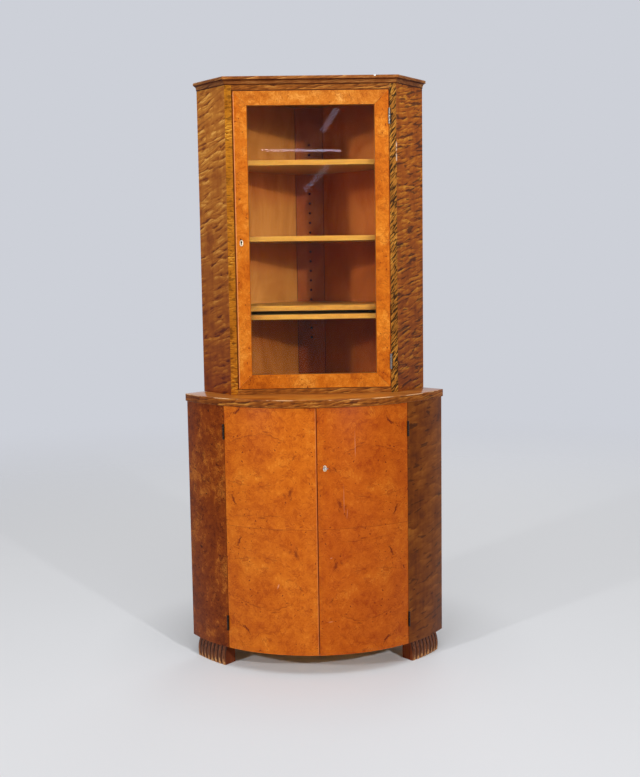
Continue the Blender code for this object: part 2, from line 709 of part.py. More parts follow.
def key_mesh(seat):
    """A key, turned so that its bow lies level, with its bit inside the lock case."""
    tip = seat + LOCK_DEPTH - LOCK_WALL - RUNNING_CLEARANCE
    bow_y = -BASE_FRONT_THICKNESS - KEY_STANDOFF
    shank_end = bow_y + KEY_BOW_HALF_LENGTH
    shank = rod_along_y(KEY_SHANK_RADIUS, shank_end - KEY_BOW_RADIUS, tip)
    collar = rod_along_y(KEYHOLE_RADIUS, shank_end + KEY_SHANK_RADIUS, shank_end + 2.0 * KEY_SHANK_RADIUS)
    half = KEY_BIT_THICKNESS / 2.0
    bit = box((0.0, seat + RUNNING_CLEARANCE, -half), (KEY_BIT_REACH, tip - RUNNING_CLEARANCE, half))
    rings = []
    for step in range(BOW_STEPS):
        turn = 2.0 * math.pi * step / BOW_STEPS
        outwards = Vector((math.cos(turn), math.sin(turn), 0.0))
        centre = Vector((KEY_BOW_HALF_WIDTH * outwards.x, bow_y + KEY_BOW_HALF_LENGTH * outwards.y, 0.0))
        rings.append([centre + outwards * across + Vector((0.0, 0.0, up))
                      for across, up in circle(KEY_BOW_RADIUS)])
    return joined(shank, [collar, bit, ring_solid(rings, wrap=True)])


def bow_sag(half_width):
    """How far the base's inner face leaves a flat plate of this half width."""
    return BASE_INNER_RADIUS - math.sqrt(BASE_INNER_RADIUS ** 2 - half_width ** 2)


def base_lock_place():
    """The base lock's frame, on the inner face of the right door."""
    return bow_place(BASE_INNER_RADIUS, KEY_DEG, BASE_KEY_HEIGHT)


def base_lock_reach():
    """From the base keyhole to the end of its lock case, just short of the doors' meeting line."""
    return BASE_BACKSET - LOCK_EDGE_MARGIN


def base_lock_seat():
    """How far behind the door's curved face the flat rim of the base lock lies."""
    return bow_sag(max(base_lock_reach(), LOCK_TAIL)) + TOUCH_GAP


def add_base_lock(door_pivot):
    """Lock case and escutcheon on the right door, with the bolt and the key that move in them."""
    place = base_lock_place()
    reach = base_lock_reach()
    seat = base_lock_seat()
    add_piece("base_lock_case", lock_case_mesh(reach, seat), STEEL, place, door_pivot)
    bolt_pivot = add_pivot("base_lock_bolt_slide", place.translation, door_pivot)
    add_piece("base_lock_bolt", lock_bolt_mesh(reach, seat), STEEL, place, bolt_pivot)
    add_piece("base_escutcheon", escutcheon_mesh(-BASE_FRONT_THICKNESS), BRASS, place, door_pivot)
    key_pivot = add_pivot("base_key_turn", place.translation, door_pivot)
    add_piece("base_key", key_mesh(seat), STEEL, place, key_pivot)


def add_base_keeper(door_pivot):
    """The staple on the left door that takes the base lock's bolt."""
    bottom, top = lock_bolt_span()
    front, back = lock_bolt_faces(base_lock_seat())
    near = -BASE_BACKSET - LOCK_EDGE_MARGIN
    far = near - KEEPER_WIDTH
    face = bow_sag(-far) + TOUCH_GAP
    rear = back + LOCK_WALL + RUNNING_CLEARANCE
    block = box((far, face, bottom - 2.0 * LOCK_WALL), (near, rear, top + 2.0 * LOCK_WALL))
    slot = box((far - LOCK_WALL, front - RUNNING_CLEARANCE, bottom - RUNNING_CLEARANCE),
               (near + LOCK_WALL, back + RUNNING_CLEARANCE, top + RUNNING_CLEARANCE))
    add_piece("base_lock_keeper", carved(block, [slot]), STEEL, base_lock_place(), door_pivot)


# Slide bolt inside the left base door. In its own frame the door's inner face is y = 0.

def slide_bolt_place():
    """The slide bolt's frame: the bolt's top, at rest, is a short way under the rail."""
    return bow_place(BASE_INNER_RADIUS, SLIDE_BOLT_DEG, RAIL_BOTTOM - SLIDE_BOLT_REST_GAP)


def slide_bolt_depth():
    """From the door's inner face to the middle of the slide bolt."""
    return bow_sag(SLIDE_CASE_WIDTH / 2.0) + TOUCH_GAP + SLIDE_CASE_DEPTH / 2.0


def add_slide_bolt(door_pivot):
    """A channel on the left door and the round bolt that slides up in it."""
    place = slide_bolt_place()
    depth = slide_bolt_depth()
    half = SLIDE_CASE_WIDTH / 2.0
    case_top = -SLIDE_BOLT_TRAVEL
    case_bottom = case_top - SLIDE_CASE_LENGTH
    front = depth - SLIDE_CASE_DEPTH / 2.0
    rear = depth + SLIDE_CASE_DEPTH / 2.0
    case = box((-half, front, case_bottom), (half, rear, case_top))
    bore = upright_rod(SLIDE_BOLT_RADIUS + RUNNING_CLEARANCE, case_bottom - half, case_top + half, y=depth)
    slot_half = SLIDE_SLOT_WIDTH / 2.0
    slot = box((-slot_half, depth, case_bottom - half), (slot_half, rear + half, case_top + half))
    add_piece("slide_bolt_case", carved(case, [bore, slot]), STEEL, place, door_pivot)

    bolt_pivot = add_pivot("slide_bolt_slide", place.translation, door_pivot)
    rod = upright_rod(SLIDE_BOLT_RADIUS, -SLIDE_BOLT_LENGTH, 0.0, y=depth)
    knob = rod_along_y(SLIDE_KNOB_RADIUS, depth, rear + SLIDE_KNOB_REACH, z=(case_top + case_bottom) / 2.0)
    add_piece("slide_bolt", joined(rod, [knob]), STEEL, place, bolt_pivot)


# Base doors

def add_base_doors():
    """Two bowed doors that meet in the middle, each on its own pivot with all that it carries."""
    outline = bow_arc(BOW_RADIUS, HALF_GAP_DEG, DOOR_JOINT_DEG - HALF_GAP_DEG)
    outline += reversed(bow_arc(BASE_INNER_RADIUS, HALF_GAP_DEG, DOOR_JOINT_DEG - HALF_GAP_DEG))
    for side, sign, shaped in (("right", 1, list), ("left", -1, mirrored)):
        axis = base_hinge_place(sign, FOOT_HEIGHT).translation
        pivot = add_pivot("base_door_%s_hinge_axis" % side, axis)
        tools = [hinge_pocket(base_hinge_place(sign, height), -sign) for height in base_hinge_heights()]
        if side == "right":
            lock = base_lock_place()
            reach = BASE_FRONT_THICKNESS + KEY_STANDOFF
            tools += [moved(tool, lock) for tool in keyhole_tools(-reach, reach)]
            add_base_lock(pivot)
        else:
            add_base_keeper(pivot)
            add_slide_bolt(pivot)
        mesh = carved(prism(shaped(outline), FOOT_HEIGHT, BASE_DOOR_TOP), tools)
        add_piece("base_door_" + side, mesh, HONEY_BIRCH, pivot=pivot)
        for level, height in zip(("lower", "upper"), base_hinge_heights()):
            add_hinge("base_hinge_%s_%s" % (side, level), base_hinge_place(sign, height), sign, pivot)


# Upper case

def case_outline(front_y, clearance):
    """Plan of a board inside the upper case, with a straight front edge."""
    wall = wall_line(BACK_THICKNESS + clearance)
    side = side_line(SIDE_THICKNESS + clearance)
    back_edge = level_line(POST_FACE_Y - clearance)
    return both_halves([crossing(side, level_line(front_y)), crossing(side, wall), crossing(wall, back_edge)])


def back_peg_holes():
    """Heights of the post's peg holes, without those that lie where a shelf's own peg is."""
    room = UPPER_CEILING - UPPER_FLOOR_TOP - PEG_ROW_START - PEG_ROW_MARGIN
    count = int(room / PEG_ROW_PITCH) + 1
    heights = [UPPER_FLOOR_TOP + PEG_ROW_START + PEG_ROW_PITCH * at for at in range(count)]
    clear = PEG_ROW_PITCH / 2.0
    return [height for height in heights if min(abs(height - peg) for peg in PEG_HEIGHTS) > clear]


def side_peg_place(height):
    """Place of a right-hand side peg: its -Y points into the case from the side's inner face."""
    line = side_line(SIDE_THICKNESS)
    front = Vector(crossing(line, level_line(UPPER_DOOR_BACK_Y + STOP_DEPTH)))
    rear = Vector(crossing(line, wall_line(BACK_THICKNESS)))
    middle = (front + rear) / 2.0
    inwards = Vector((line[1].y, -line[1].x))
    turn = math.atan2(inwards.x, -inwards.y)
    return Matrix.Translation((middle.x, middle.y, height)) @ Matrix.Rotation(turn, 4, "Z")


def peg_mesh():
    """A shelf peg, half of it in the wood behind y = 0."""
    return rod_along_y(PEG_RADIUS, -PEG_REACH, PEG_SEAT)


def add_upper_case():
    """Sides, floor, top, backs and corner post of the upper case, with the pegs for its shelves."""
    side_face = side_line(SIDE_THICKNESS)
    side = [crossing(side_line(), wall_line()), crossing(side_line(), level_line(UPPER_FRONT_Y)),
            crossing(side_face, level_line(UPPER_FRONT_Y)), crossing(side_face, wall_line())]
    behind_side = side_line(SIDE_THICKNESS + TOUCH_GAP)
    back = wall_panel_outline(crossing(behind_side, wall_line()),
                              crossing(behind_side, wall_line(BACK_THICKNESS)))
    pockets = [hinge_pocket(upper_hinge_place(height), 1, side_turn_deg(), LEAF_WIDTH)
               for height in upper_hinge_heights()]
    flip = Matrix.Scale(-1.0, 4, (1.0, 0.0, 0.0))
    pegs = [moved(peg_mesh(), side_peg_place(height)) for height in PEG_HEIGHTS]
    left_pegs = [moved(peg_mesh(), flip @ side_peg_place(height)) for height in PEG_HEIGHTS]
    for peg in left_pegs:
        peg.flip_normals()
    right = joined(carved(prism(side, UPPER_BOTTOM, UPPER_WALL_TOP), pockets), pegs)
    left = joined(prism(mirrored(side), UPPER_BOTTOM, UPPER_WALL_TOP), left_pegs)
    add_piece("upper_side_right", right, GOLD_BIRCH)
    add_piece("upper_side_left", left, GOLD_BIRCH)
    add_piece("upper_back_right", prism(back, UPPER_BOTTOM, UPPER_WALL_TOP), INNER_WOOD)
    add_piece("upper_back_left", prism(mirrored(back), UPPER_BOTTOM, UPPER_WALL_TOP), INNER_WOOD)

    board = case_outline(UPPER_FRONT_Y, TOUCH_GAP)
    add_piece("upper_bottom", prism(board, UPPER_BOTTOM, UPPER_FLOOR_TOP), GOLD_BIRCH)
    add_piece("upper_top", prism(board, UPPER_CEILING, UPPER_WALL_TOP), GOLD_BIRCH)
    add_upper_post()


def add_upper_post():
    """The upper corner post, drilled with a row of peg holes and carrying the back peg of each shelf."""
    post = prism(post_outline(), UPPER_BOTTOM, UPPER_WALL_TOP)
    face = Matrix.Translation((0.0, POST_FACE_Y, 0.0))
    holes = [moved(rod_along_y(PEG_RADIUS, -PEG_HOLE_DEPTH, PEG_HOLE_DEPTH, z=height), face)
             for height in back_peg_holes()]
    pegs = [moved(rod_along_y(PEG_RADIUS, -PEG_REACH, PEG_SEAT, z=height), face) for height in PEG_HEIGHTS]
    add_piece("upper_corner_post", joined(carved(post, holes), pegs), INNER_WOOD)


def add_shelves():
    """Four loose shelves on their pegs, counted from the top."""
    front_y = UPPER_DOOR_BACK_Y + STOP_GAP + STOP_DEPTH + SHELF_CLEARANCE
    outline = case_outline(front_y, SHELF_CLEARANCE)
    for number, underside in enumerate(SHELF_UNDERSIDES, start=1):
        shelf = prism(outline, underside, underside + SHELF_THICKNESS)
        add_piece("upper_shelf_%d" % number, shelf, SHELF_WOOD)


def add_door_stop():
    """The strip that the glazed door closes against, with the mortise for its bolt."""
    front_y = UPPER_DOOR_BACK_Y + STOP_GAP
    rear_y = front_y + STOP_DEPTH
    side = side_line(SIDE_THICKNESS + TOUCH_GAP)
    edge_x = UPPER_DOOR_HALF_WIDTH - STOP_LAP
    outline = [(edge_x, rear_y), (edge_x, front_y), crossing(side, level_line(front_y)),
               crossing(side, level_line(rear_y))]
    strip = prism(mirrored(outline), UPPER_FLOOR_TOP + TOUCH_GAP, UPPER_CEILING - TOUCH_GAP)
    bottom, top = lock_bolt_span()
    front, back = lock_bolt_faces(TOUCH_GAP)
    reach = upper_lock_reach() + LOCK_BOLT_TRAVEL
    mortise = box((-reach - RUNNING_CLEARANCE, front - RUNNING_CLEARANCE, bottom - RUNNING_CLEARANCE),
                  (0.0, back + RUNNING_CLEARANCE, top + RUNNING_CLEARANCE))
    add_piece("upper_door_stop", carved(strip, [moved(mortise, upper_lock_place())]), PLAIN_WOOD)


def cornice_profile():
    """The moulding's section: distance out from the case's face, height above its bed."""
    upper_start = CORNICE_LOWER_TIER + CORNICE_GROOVE
    points = [(-CORNICE_BED, 0.0), (CORNICE_FOOT, 0.0)]
    for step in range(COVE_STEPS + 1):
        turn = math.pi / 2.0 * step / COVE_STEPS
        points.append((CORNICE_FOOT + (CORNICE_NECK - CORNICE_FOOT) * (1.0 - math.cos(turn)),
                       CORNICE_LIP + (CORNICE_LOWER_TIER - CORNICE_LIP) * math.sin(turn)))
    points += [(CORNICE_NECK, upper_start), (CORNICE_OVERHANG, upper_start),
               (CORNICE_OVERHANG, CORNICE_HEIGHT - CORNICE_ROUNDING),
               (CORNICE_OVERHANG - CORNICE_ROUNDING, CORNICE_HEIGHT), (-CORNICE_BED, CORNICE_HEIGHT)]
    return points


def add_cornice():
    """Three lengths of moulding on top of the case, mitred at the two front corners."""
    wall_end = []
    corner = []
    front_corner = []
    for out, rise in cornice_profile():
        height = CORNICE_BOTTOM + rise
        side = side_line(-out)
        wall_end.append((*crossing(side, wall_line()), height))
        x, y = crossing(side, level_line(UPPER_FRONT_Y - out))
        along = side_direction() * MITRE_GAP
        corner.append((x - along.x, y - along.y, height))
        front_corner.append((x - MITRE_GAP, y, height))
    add_piece("cornice_right", ring_solid([wall_end, corner]), CORNICE_WOOD)
    left_end = [(-x, y, z) for x, y, z in wall_end]
    left_corner = [(-x, y, z) for x, y, z in corner]
    add_piece("cornice_left", ring_solid([left_end, left_corner]), CORNICE_WOOD)
    front_left = [(-x, y, z) for x, y, z in front_corner]
    add_piece("cornice_front", ring_solid([front_left, front_corner]), CORNICE_WOOD)


# Glazed door

def frame_section():
    """Section of a frame member: distance in from the door's edge, depth behind its face."""
    rebate = FRAME_WIDTH - REBATE_WIDTH
    return [(0.0, 0.0), (FRAME_WIDTH, 0.0), (FRAME_WIDTH, FRAME_LIP), (rebate, FRAME_LIP),
            (rebate, UPPER_DOOR_THICKNESS), (0.0, UPPER_DOOR_THICKNESS)]


def frame_stile(sign):
    """An upright of the frame, mitred at both ends; sign tells the side."""
    rings = []
    for edge, inwards in ((UPPER_DOOR_BOTTOM, 1.0), (UPPER_DOOR_TOP, -1.0)):
        rings.append([(sign * (UPPER_DOOR_HALF_WIDTH - width), UPPER_FRONT_Y + depth,
                       edge + inwards * (width + MITRE_GAP)) for width, depth in frame_section()])
    return ring_solid(rings)


def frame_rail(edge, inwards):
    """A rail of the frame, mitred at both ends; inwards is +1 from a lower edge and -1 from an upper one."""
    rings = []
    for sign in (-1.0, 1.0):
        rings.append([(sign * (UPPER_DOOR_HALF_WIDTH - width - MITRE_GAP), UPPER_FRONT_Y + depth,
                       edge + inwards * width) for width, depth in frame_section()])
    return ring_solid(rings)


def upper_lock_place():
    """The upper lock's frame, on the inner face of the door's closing stile."""
    return Matrix.Translation((-UPPER_DOOR_HALF_WIDTH + UPPER_BACKSET, UPPER_DOOR_BACK_Y, UPPER_KEY_HEIGHT))


def upper_lock_reach():
    """From the upper keyhole to the end of its lock case, just short of the door stop."""
    return UPPER_BACKSET - STOP_LAP - LOCK_EDGE_MARGIN


def pane_box(margin, front_y, back_y):
    """A box across the glazing rebate, this far inside the rebate's outer edges."""
    inset = FRAME_WIDTH - REBATE_WIDTH + margin
    half = UPPER_DOOR_HALF_WIDTH - inset
    return box((-half, front_y, UPPER_DOOR_BOTTOM + inset), (half, back_y, UPPER_DOOR_TOP - inset))


def add_upper_door():
    """The mitred frame, its glass and glazing bead, the lock and the escutcheon, all on one pivot."""
    pivot = add_pivot("upper_door_hinge_axis", upper_hinge_place(UPPER_DOOR_BOTTOM).translation)
    pockets = [hinge_pocket(upper_hinge_place(height), -1) for height in upper_hinge_heights()]
    place = upper_lock_place()
    reach = 2.0 * UPPER_DOOR_THICKNESS
    keyhole = [moved(tool, place) for tool in keyhole_tools(-reach, reach)]
    add_piece("door_stile_right", carved(frame_stile(1.0), pockets), HONEY_BIRCH, pivot=pivot)
    add_piece("door_stile_left", carved(frame_stile(-1.0), keyhole), HONEY_BIRCH, pivot=pivot)
    add_piece("door_rail_bottom", frame_rail(UPPER_DOOR_BOTTOM, 1.0), HONEY_BIRCH, pivot=pivot)
    add_piece("door_rail_top", frame_rail(UPPER_DOOR_TOP, -1.0), HONEY_BIRCH, pivot=pivot)

    glass_y = UPPER_FRONT_Y + FRAME_LIP + TOUCH_GAP
    bead_y = glass_y + GLASS_THICKNESS + TOUCH_GAP
    add_piece("door_glass", pane_box(TOUCH_GAP, glass_y, glass_y + GLASS_THICKNESS), GLASS, pivot=pivot)
    daylight = pane_box(TOUCH_GAP + BEAD_WIDTH, glass_y, UPPER_DOOR_BACK_Y + FRAME_LIP)
    bead = carved(pane_box(TOUCH_GAP, bead_y, UPPER_DOOR_BACK_Y), [daylight])
    add_piece("glazing_bead", bead, HONEY_BIRCH, pivot=pivot)

    for level, height in zip(("lower", "upper"), upper_hinge_heights()):
        add_hinge("upper_hinge_" + level, upper_hinge_place(height), 1, pivot, side_turn_deg())
    lock_reach = upper_lock_reach()
    add_piece("upper_lock_case", lock_case_mesh(lock_reach, TOUCH_GAP), STEEL, place, pivot)
    bolt_pivot = add_pivot("upper_lock_bolt_slide", place.translation, pivot)
    add_piece("upper_lock_bolt", lock_bolt_mesh(lock_reach, TOUCH_GAP), STEEL, place, bolt_pivot)
    add_piece("upper_escutcheon", escutcheon_mesh(-UPPER_DOOR_THICKNESS), BRASS, place, pivot)


for old in list(bpy.data.objects):
    bpy.data.objects.remove(old, do_unlink=True)
add_base_carcass()
add_feet()
add_base_doors()
add_upper_case()
add_shelves()
add_door_stop()
add_cornice()
add_upper_door()
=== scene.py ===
import math
from functools import partial

import bmesh
import bpy
from mathutils import Matrix, Vector


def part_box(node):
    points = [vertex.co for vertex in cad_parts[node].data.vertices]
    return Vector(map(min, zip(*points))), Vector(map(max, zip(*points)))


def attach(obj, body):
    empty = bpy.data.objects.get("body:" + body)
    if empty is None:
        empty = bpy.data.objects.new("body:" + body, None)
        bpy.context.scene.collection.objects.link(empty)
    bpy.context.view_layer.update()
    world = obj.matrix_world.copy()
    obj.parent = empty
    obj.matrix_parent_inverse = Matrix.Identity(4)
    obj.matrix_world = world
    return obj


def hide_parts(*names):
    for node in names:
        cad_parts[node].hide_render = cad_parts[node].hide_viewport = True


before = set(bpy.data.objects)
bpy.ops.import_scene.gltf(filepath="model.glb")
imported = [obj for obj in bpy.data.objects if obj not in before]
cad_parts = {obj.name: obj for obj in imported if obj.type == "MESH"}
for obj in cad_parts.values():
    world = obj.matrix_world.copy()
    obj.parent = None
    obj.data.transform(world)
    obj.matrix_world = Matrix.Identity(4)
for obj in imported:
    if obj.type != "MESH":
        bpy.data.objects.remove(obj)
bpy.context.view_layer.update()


# Floor board, shelf, battens and rail of the base, and the stop strip of the upper case. They are
# sawn and planed pine, glued and pinned inside where nobody polished them.
# Bare pine is matt and straw-coloured, with growth rings as lines 5 or 6 mm apart.

def linear(hex_colour):
    """An sRGB hex colour as the linear values that a shader takes."""
    channels = [int(hex_colour[at:at + 2], 16) / 255.0 for at in (1, 3, 5)]
    return (*[c / 12.92 if c <= 0.04045 else ((c + 0.055) / 1.055) ** 2.4 for c in channels], 1.0)


def connect(socket, value):
    """Feeds a socket: from another socket, from a node's first output, or with a value or hex colour."""
    if isinstance(value, bpy.types.Node):
        value = next(output for output in value.outputs if output.enabled)
    if isinstance(value, bpy.types.NodeSocket):
        socket.id_data.links.new(value, socket)
    else:
        socket.default_value = linear(value) if isinstance(value, str) else value


def add_node(owner, kind, *values, stops=(), **named):
    """Adds one shader node. After a dot, its kind says its operation, or what it mixes. Values feed its
    sockets in their order, and names with a capital feed the socket of that name. Small names are
    settings, and stops are the places and colours of a ramp."""
    kind, _, choice = kind.partition(".")
    node = owner.node_tree.nodes.new("ShaderNode" + kind)
    if choice:
        setattr(node, "data_type" if kind == "Mix" else "operation", choice)
    for name, value in named.items():
        if name.islower():
            setattr(node, name, value)
    for socket, value in zip([socket for socket in node.inputs if socket.enabled], values):
        connect(socket, value)
    for name, value in named.items():
        if not name.islower():
            connect(node.inputs[name], value)
    for number, (place, colour) in enumerate(stops):
        stop = node.color_ramp.elements[number] if number < 2 else node.color_ramp.elements.new(place)
        stop.position = place
        stop.color = linear(colour)
    return node


def new_material(name, roughness, coat=0.0, coat_roughness=0.1):
    """A Principled material with its even values set. Returns it, its shader, its own add_node, and the
    place of a point on the piece."""
    material = bpy.data.materials.new(name)
    material.use_nodes = True
    shader = material.node_tree.nodes["Principled BSDF"]
    connect(shader.inputs["Roughness"], roughness)
    connect(shader.inputs["Coat Weight"], coat)
    connect(shader.inputs["Coat Roughness"], coat_roughness)
    connect(shader.inputs["Specular IOR Level"], 0.07)
    add = partial(add_node, material)
    return material, shader, add, add("TexCoord").outputs["Object"]


def straight_grain(name, colours, ring_mm, stretch, roughness, coat=0.0):
    """Straight-grained wood with growth rings ring_mm apart. Stretch squeezes them along the grain."""
    material, shader, add, place = new_material(name, roughness, coat)
    drawn = add("Mapping", place, Scale=stretch)
    rings = add("TexNoise", drawn, Scale=1000.0 / ring_mm, Detail=3.0, Roughness=0.55, Distortion=0.4)
    broad = add("TexNoise", drawn, Scale=120.0 / ring_mm)
    fibre = add("TexNoise", drawn, Scale=5000.0 / ring_mm)
    mixed = add("Mix", 0.22, add("Mix", 0.45, rings, broad), fibre)
    connect(shader.inputs["Base Color"], add("ValToRGB", mixed, stops=zip((0.30, 0.45, 0.56, 0.72), colours)))
    connect(shader.inputs["Normal"], add("Bump", Height=fibre, Strength=0.6, Distance=0.00012))
    return material


def give(material, *names):
    """Gives a material to the CAD pieces of these names."""
    for name in names:
        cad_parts[name].data.materials[0] = material


ALONG_X = (0.05, 1.0, 1.0)
ALONG_Z = (1.0, 1.0, 0.05)
give(straight_grain("bare_pine", ("#8A5E32", "#B98548", "#C99858", "#D8AE70"), 6.0, ALONG_X, 0.62),
     "base_bottom", "base_shelf", "base_shelf_batten_left", "base_shelf_batten_right", "base_front_rail")
give(straight_grain("bare_pine_upright", ("#8A5E32", "#B07C42", "#C08E50", "#CFA468"), 5.0, ALONG_Z, 0.62),
     "upper_door_stop")


# Backs and corner boards: birch plywood, stained amber on the face that shows and nailed into the
# sides. Rotary-cut birch has a faint cloudy figure, so the pattern is broad and soft. The stain is
# multiplied by painted shade in each bay, darker and redder towards the shelf above it.
PLY_HEIGHT = 2.0
SMALLEST_BAY = 0.1
UNDER_LOWEST_SHELF = 1.0
# Painted shade, bay by bay: as written low in each bay, multiplied darker and redder towards the shelf above.
bay_shading = [(0.0, "#FFFFFF"), (0.46, "#FFFFFF")]
edges = [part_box("upper_bottom")[1].z]
for number in (4, 3, 2, 1):
    edges += [corner.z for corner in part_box("upper_shelf_%d" % number)]
edges.append(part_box("upper_top")[0].z)
for floor_z, ceiling_z in zip(edges[0::2], edges[1::2]):
    tall = ceiling_z - floor_z
    if tall > SMALLEST_BAY:
        lit, even, deep = ("#FFFFFF", "#F4ECE4", "#E8C0AC")
        # The lowest bay is darker all over: painted shade.
        if floor_z < UNDER_LOWEST_SHELF:
            lit, even, deep = ("#D8C4B4", "#D0B8A4", "#D0A490")
        for height, colour in ((floor_z + 0.002, lit), (floor_z + 0.45 * tall, even),
                               (floor_z + 0.80 * tall, deep), (ceiling_z - 0.002, deep)):
            bay_shading.append((height / PLY_HEIGHT, colour))


def stained_ply(name, colours, roughness=0.45, coat=0.06):
    """Rotary-cut birch under stain: broad soft clouds, a few wavy contour lines and fine pores, times the
    painted shade of each bay. The face towards the wall was left bare and has gone grey-brown."""
    material, shader, add, place = new_material(name, roughness, coat)
    facing = add("SeparateXYZ", add("TexCoord").outputs["Normal"]).outputs["Y"]
    drawn = add("Mapping", place, Scale=(1.0, 1.0, 0.4))
    clouds = add("TexNoise", drawn, Scale=10.0, Detail=4.0, Roughness=0.55, Distortion=1.2)
    contour = add("Math.PINGPONG", clouds, 0.035)
    contour = add("Math.MULTIPLY_ADD", contour, 2.4, clouds)
    pores = add("TexNoise", add("Mapping", place, Scale=(1.0, 1.0, 0.08)), Scale=700.0, Detail=3.0)
    tone = add("Mix", 0.18, contour, pores)
    tones = (0.38, 0.50, 0.60, 0.72)
    stained = add("ValToRGB", tone, stops=zip(tones, colours))
    bare = add("ValToRGB", tone, stops=zip(tones, ("#7E6242", "#94744E", "#A2825A", "#B0916A")))
    rise = add("Math.DIVIDE", add("SeparateXYZ", place).outputs["Z"], PLY_HEIGHT)
    bay_shade = add("ValToRGB", rise, stops=bay_shading)
    shaded_stain = add("Mix.RGBA", 1.0, stained, bay_shade, blend_type="MULTIPLY")
    wall_side = add("Math.GREATER_THAN", facing, 0.3)
    connect(shader.inputs["Base Color"], add("Mix.RGBA", wall_side, shaded_stain, bare))
    connect(shader.inputs["Normal"], add("Bump", Height=pores, Strength=0.4, Distance=0.00008))
    return material


def open_again(material):
    """What it takes to paint on a finished material: its add_node, the place, and its colour so far with
    the socket that it feeds."""
    socket = material.node_tree.nodes["Principled BSDF"].inputs["Base Color"]
    add = partial(add_node, material)
    return add, add("TexCoord").outputs["Object"], socket.links[0].from_socket, socket


def only_where(add, amount, place, *limits):
    """The amount, kept only where each axis of the place is on the given side of its limit."""
    for axis, side, limit in limits:
        within = add("Math." + side, place[axis], limit)
        amount = add("Math.MULTIPLY", amount, within)
    return amount


give(stained_ply("amber_stained_ply", ("#B66C2A", "#C47834", "#CC803A", "#D68C44")), "upper_back_left")
give(stained_ply("red_amber_stained_ply", ("#A8501C", "#B65A22", "#C06428", "#CC7030")), "upper_back_right")
HOLE_START = 1.0728
HOLE_SPACING = 0.0351
HOLE_SHADE = 0.0044
HOLES_LOW = 1.06
HOLES_HIGH = 1.79
POST_INSIDE_Y = 0.326
POST_EDGE = 0.0488
POST_SEAM = 0.0008
post_ply = stained_ply("brown_amber_stained_ply", ("#944214", "#A44C1A", "#AE5620", "#BA6228"))
add, place, wood, post_colour = open_again(post_ply)
place = add("SeparateXYZ", place).outputs
# Painted shade: each peg hole and a ring round it are near black. The dark lines at the post's edges are its
# joints.
over = add("Math.SUBTRACT", place["Z"], HOLE_START)
over = add("Math.PINGPONG", over, HOLE_SPACING / 2.0)
hole = add("VectorMath.LENGTH", add("CombineXYZ", place["X"], over))
hole = add("Math.LESS_THAN", hole, HOLE_SHADE)
hole = only_where(add, hole, place, ("Z", "GREATER_THAN", HOLES_LOW), ("Z", "LESS_THAN", HOLES_HIGH),
                  ("Y", "LESS_THAN", POST_INSIDE_Y))
seam = add("Math.ABSOLUTE", place["X"])
seam = add("MapRange", seam, POST_EDGE, POST_EDGE + POST_SEAM, 0.0, 0.85)
edged = add("Mix.RGBA", seam, wood, "#2E1208")
connect(post_colour, add("Mix.RGBA", hole, edged, "#140803"))
give(post_ply, "upper_corner_post")
give(stained_ply("brown_stained_ply", ("#6A4424", "#83582F", "#966A3C", "#A87C4C"), 0.55, 0.0),
     "base_back_left", "base_back_right", "base_corner_post")


# Fixed stiles of the base: bowed laminations veneered with red-brown birch and lacquered, glued to
# the floor board and the backs. The hinges' leaves are let into their inner edges.
SIDES = (("left", -1.0), ("right", 1.0))
BOW_CENTRE = Vector((0.0, 0.200586, 0.0))
BOW_RADIUS = 0.50375
BASE_WALL = 0.020
JOINT_DEG = 36.83436
STILE_END_DEG = 64.0
GAP_DEG = 0.0853
BOW_STEP_DEG = 0.6
WALL_PLANE_Y = 0.378836
HINGE_AXIS_RADIUS = BOW_RADIUS + 0.0038
HINGE_POCKET = (0.0033, 0.0342, 0.0503)
BASE_HINGE_HEIGHTS = (0.155, 0.8015)
BOARD_ROUND = 0.0008


def point_on_bow(radius, angle_deg, height):
    """A point at this radius from the bow's centre, angles counted from straight ahead to the right."""
    turn = math.radians(angle_deg)
    return BOW_CENTRE + Vector((radius * math.sin(turn), -radius * math.cos(turn), height))


def from_bow_axis(point):
    """The level way from the upright axis of the bow to a point."""
    return Vector((point.x, point.y, 0.0)) - BOW_CENTRE


def select_only(*pieces):
    """Selects these pieces alone and makes the first one active."""
    bpy.ops.object.select_all(action="DESELECT")
    for piece in pieces:
        piece.select_set(True)
    bpy.context.view_layer.objects.active = pieces[0]


def take_new(scale=(1.0, 1.0, 1.0), name="cutter"):
    """The piece that was just added, scaled and named, with its place in its mesh."""
    piece = bpy.context.object
    piece.name = name
    piece.scale = scale
    select_only(piece)
    bpy.ops.object.transform_apply()
    return piece


def start_editing(piece):
    """Opens a piece in edit mode with all of it selected."""
    select_only(piece)
    bpy.ops.object.mode_set(mode="EDIT")
    bpy.ops.mesh.select_all(action="SELECT")


def end_editing():
    """Turns every face outwards and leaves edit mode."""
    bpy.ops.mesh.select_all(action="SELECT")
    bpy.ops.mesh.normals_make_consistent(inside=False)
    bpy.ops.object.mode_set(mode="OBJECT")


def apply_modifier(piece, kind, **settings):
    """Adds one modifier with its settings and applies it."""
    select_only(piece)
    modifier = piece.modifiers.new("step", kind)
    for name, value in settings.items():
        setattr(modifier, name, value)
    bpy.ops.object.modifier_apply(modifier=modifier.name)


def cut_away(piece, cutter):
    """Cuts the cutter's shape out of the piece and drops the cutter."""
    apply_modifier(piece, "BOOLEAN", operation="DIFFERENCE", object=cutter, solver="EXACT")
    bpy.data.objects.remove(cutter)


def cut_box(piece, centre, turn_deg, size):
    """Cuts a box out of the piece, turned about the upright."""
    bpy.ops.mesh.primitive_cube_add(size=1.0, location=centre, rotation=(0.0, 0.0, math.radians(turn_deg)))
    cut_away(piece, take_new(size))


def cut_hinge_pockets(piece, sign):
    """Cuts the recesses of both base hinges at this side."""
    turn_deg = sign * JOINT_DEG
    for height in BASE_HINGE_HEIGHTS:
        cut_box(piece, point_on_bow(HINGE_AXIS_RADIUS, turn_deg, height), turn_deg, HINGE_POCKET)


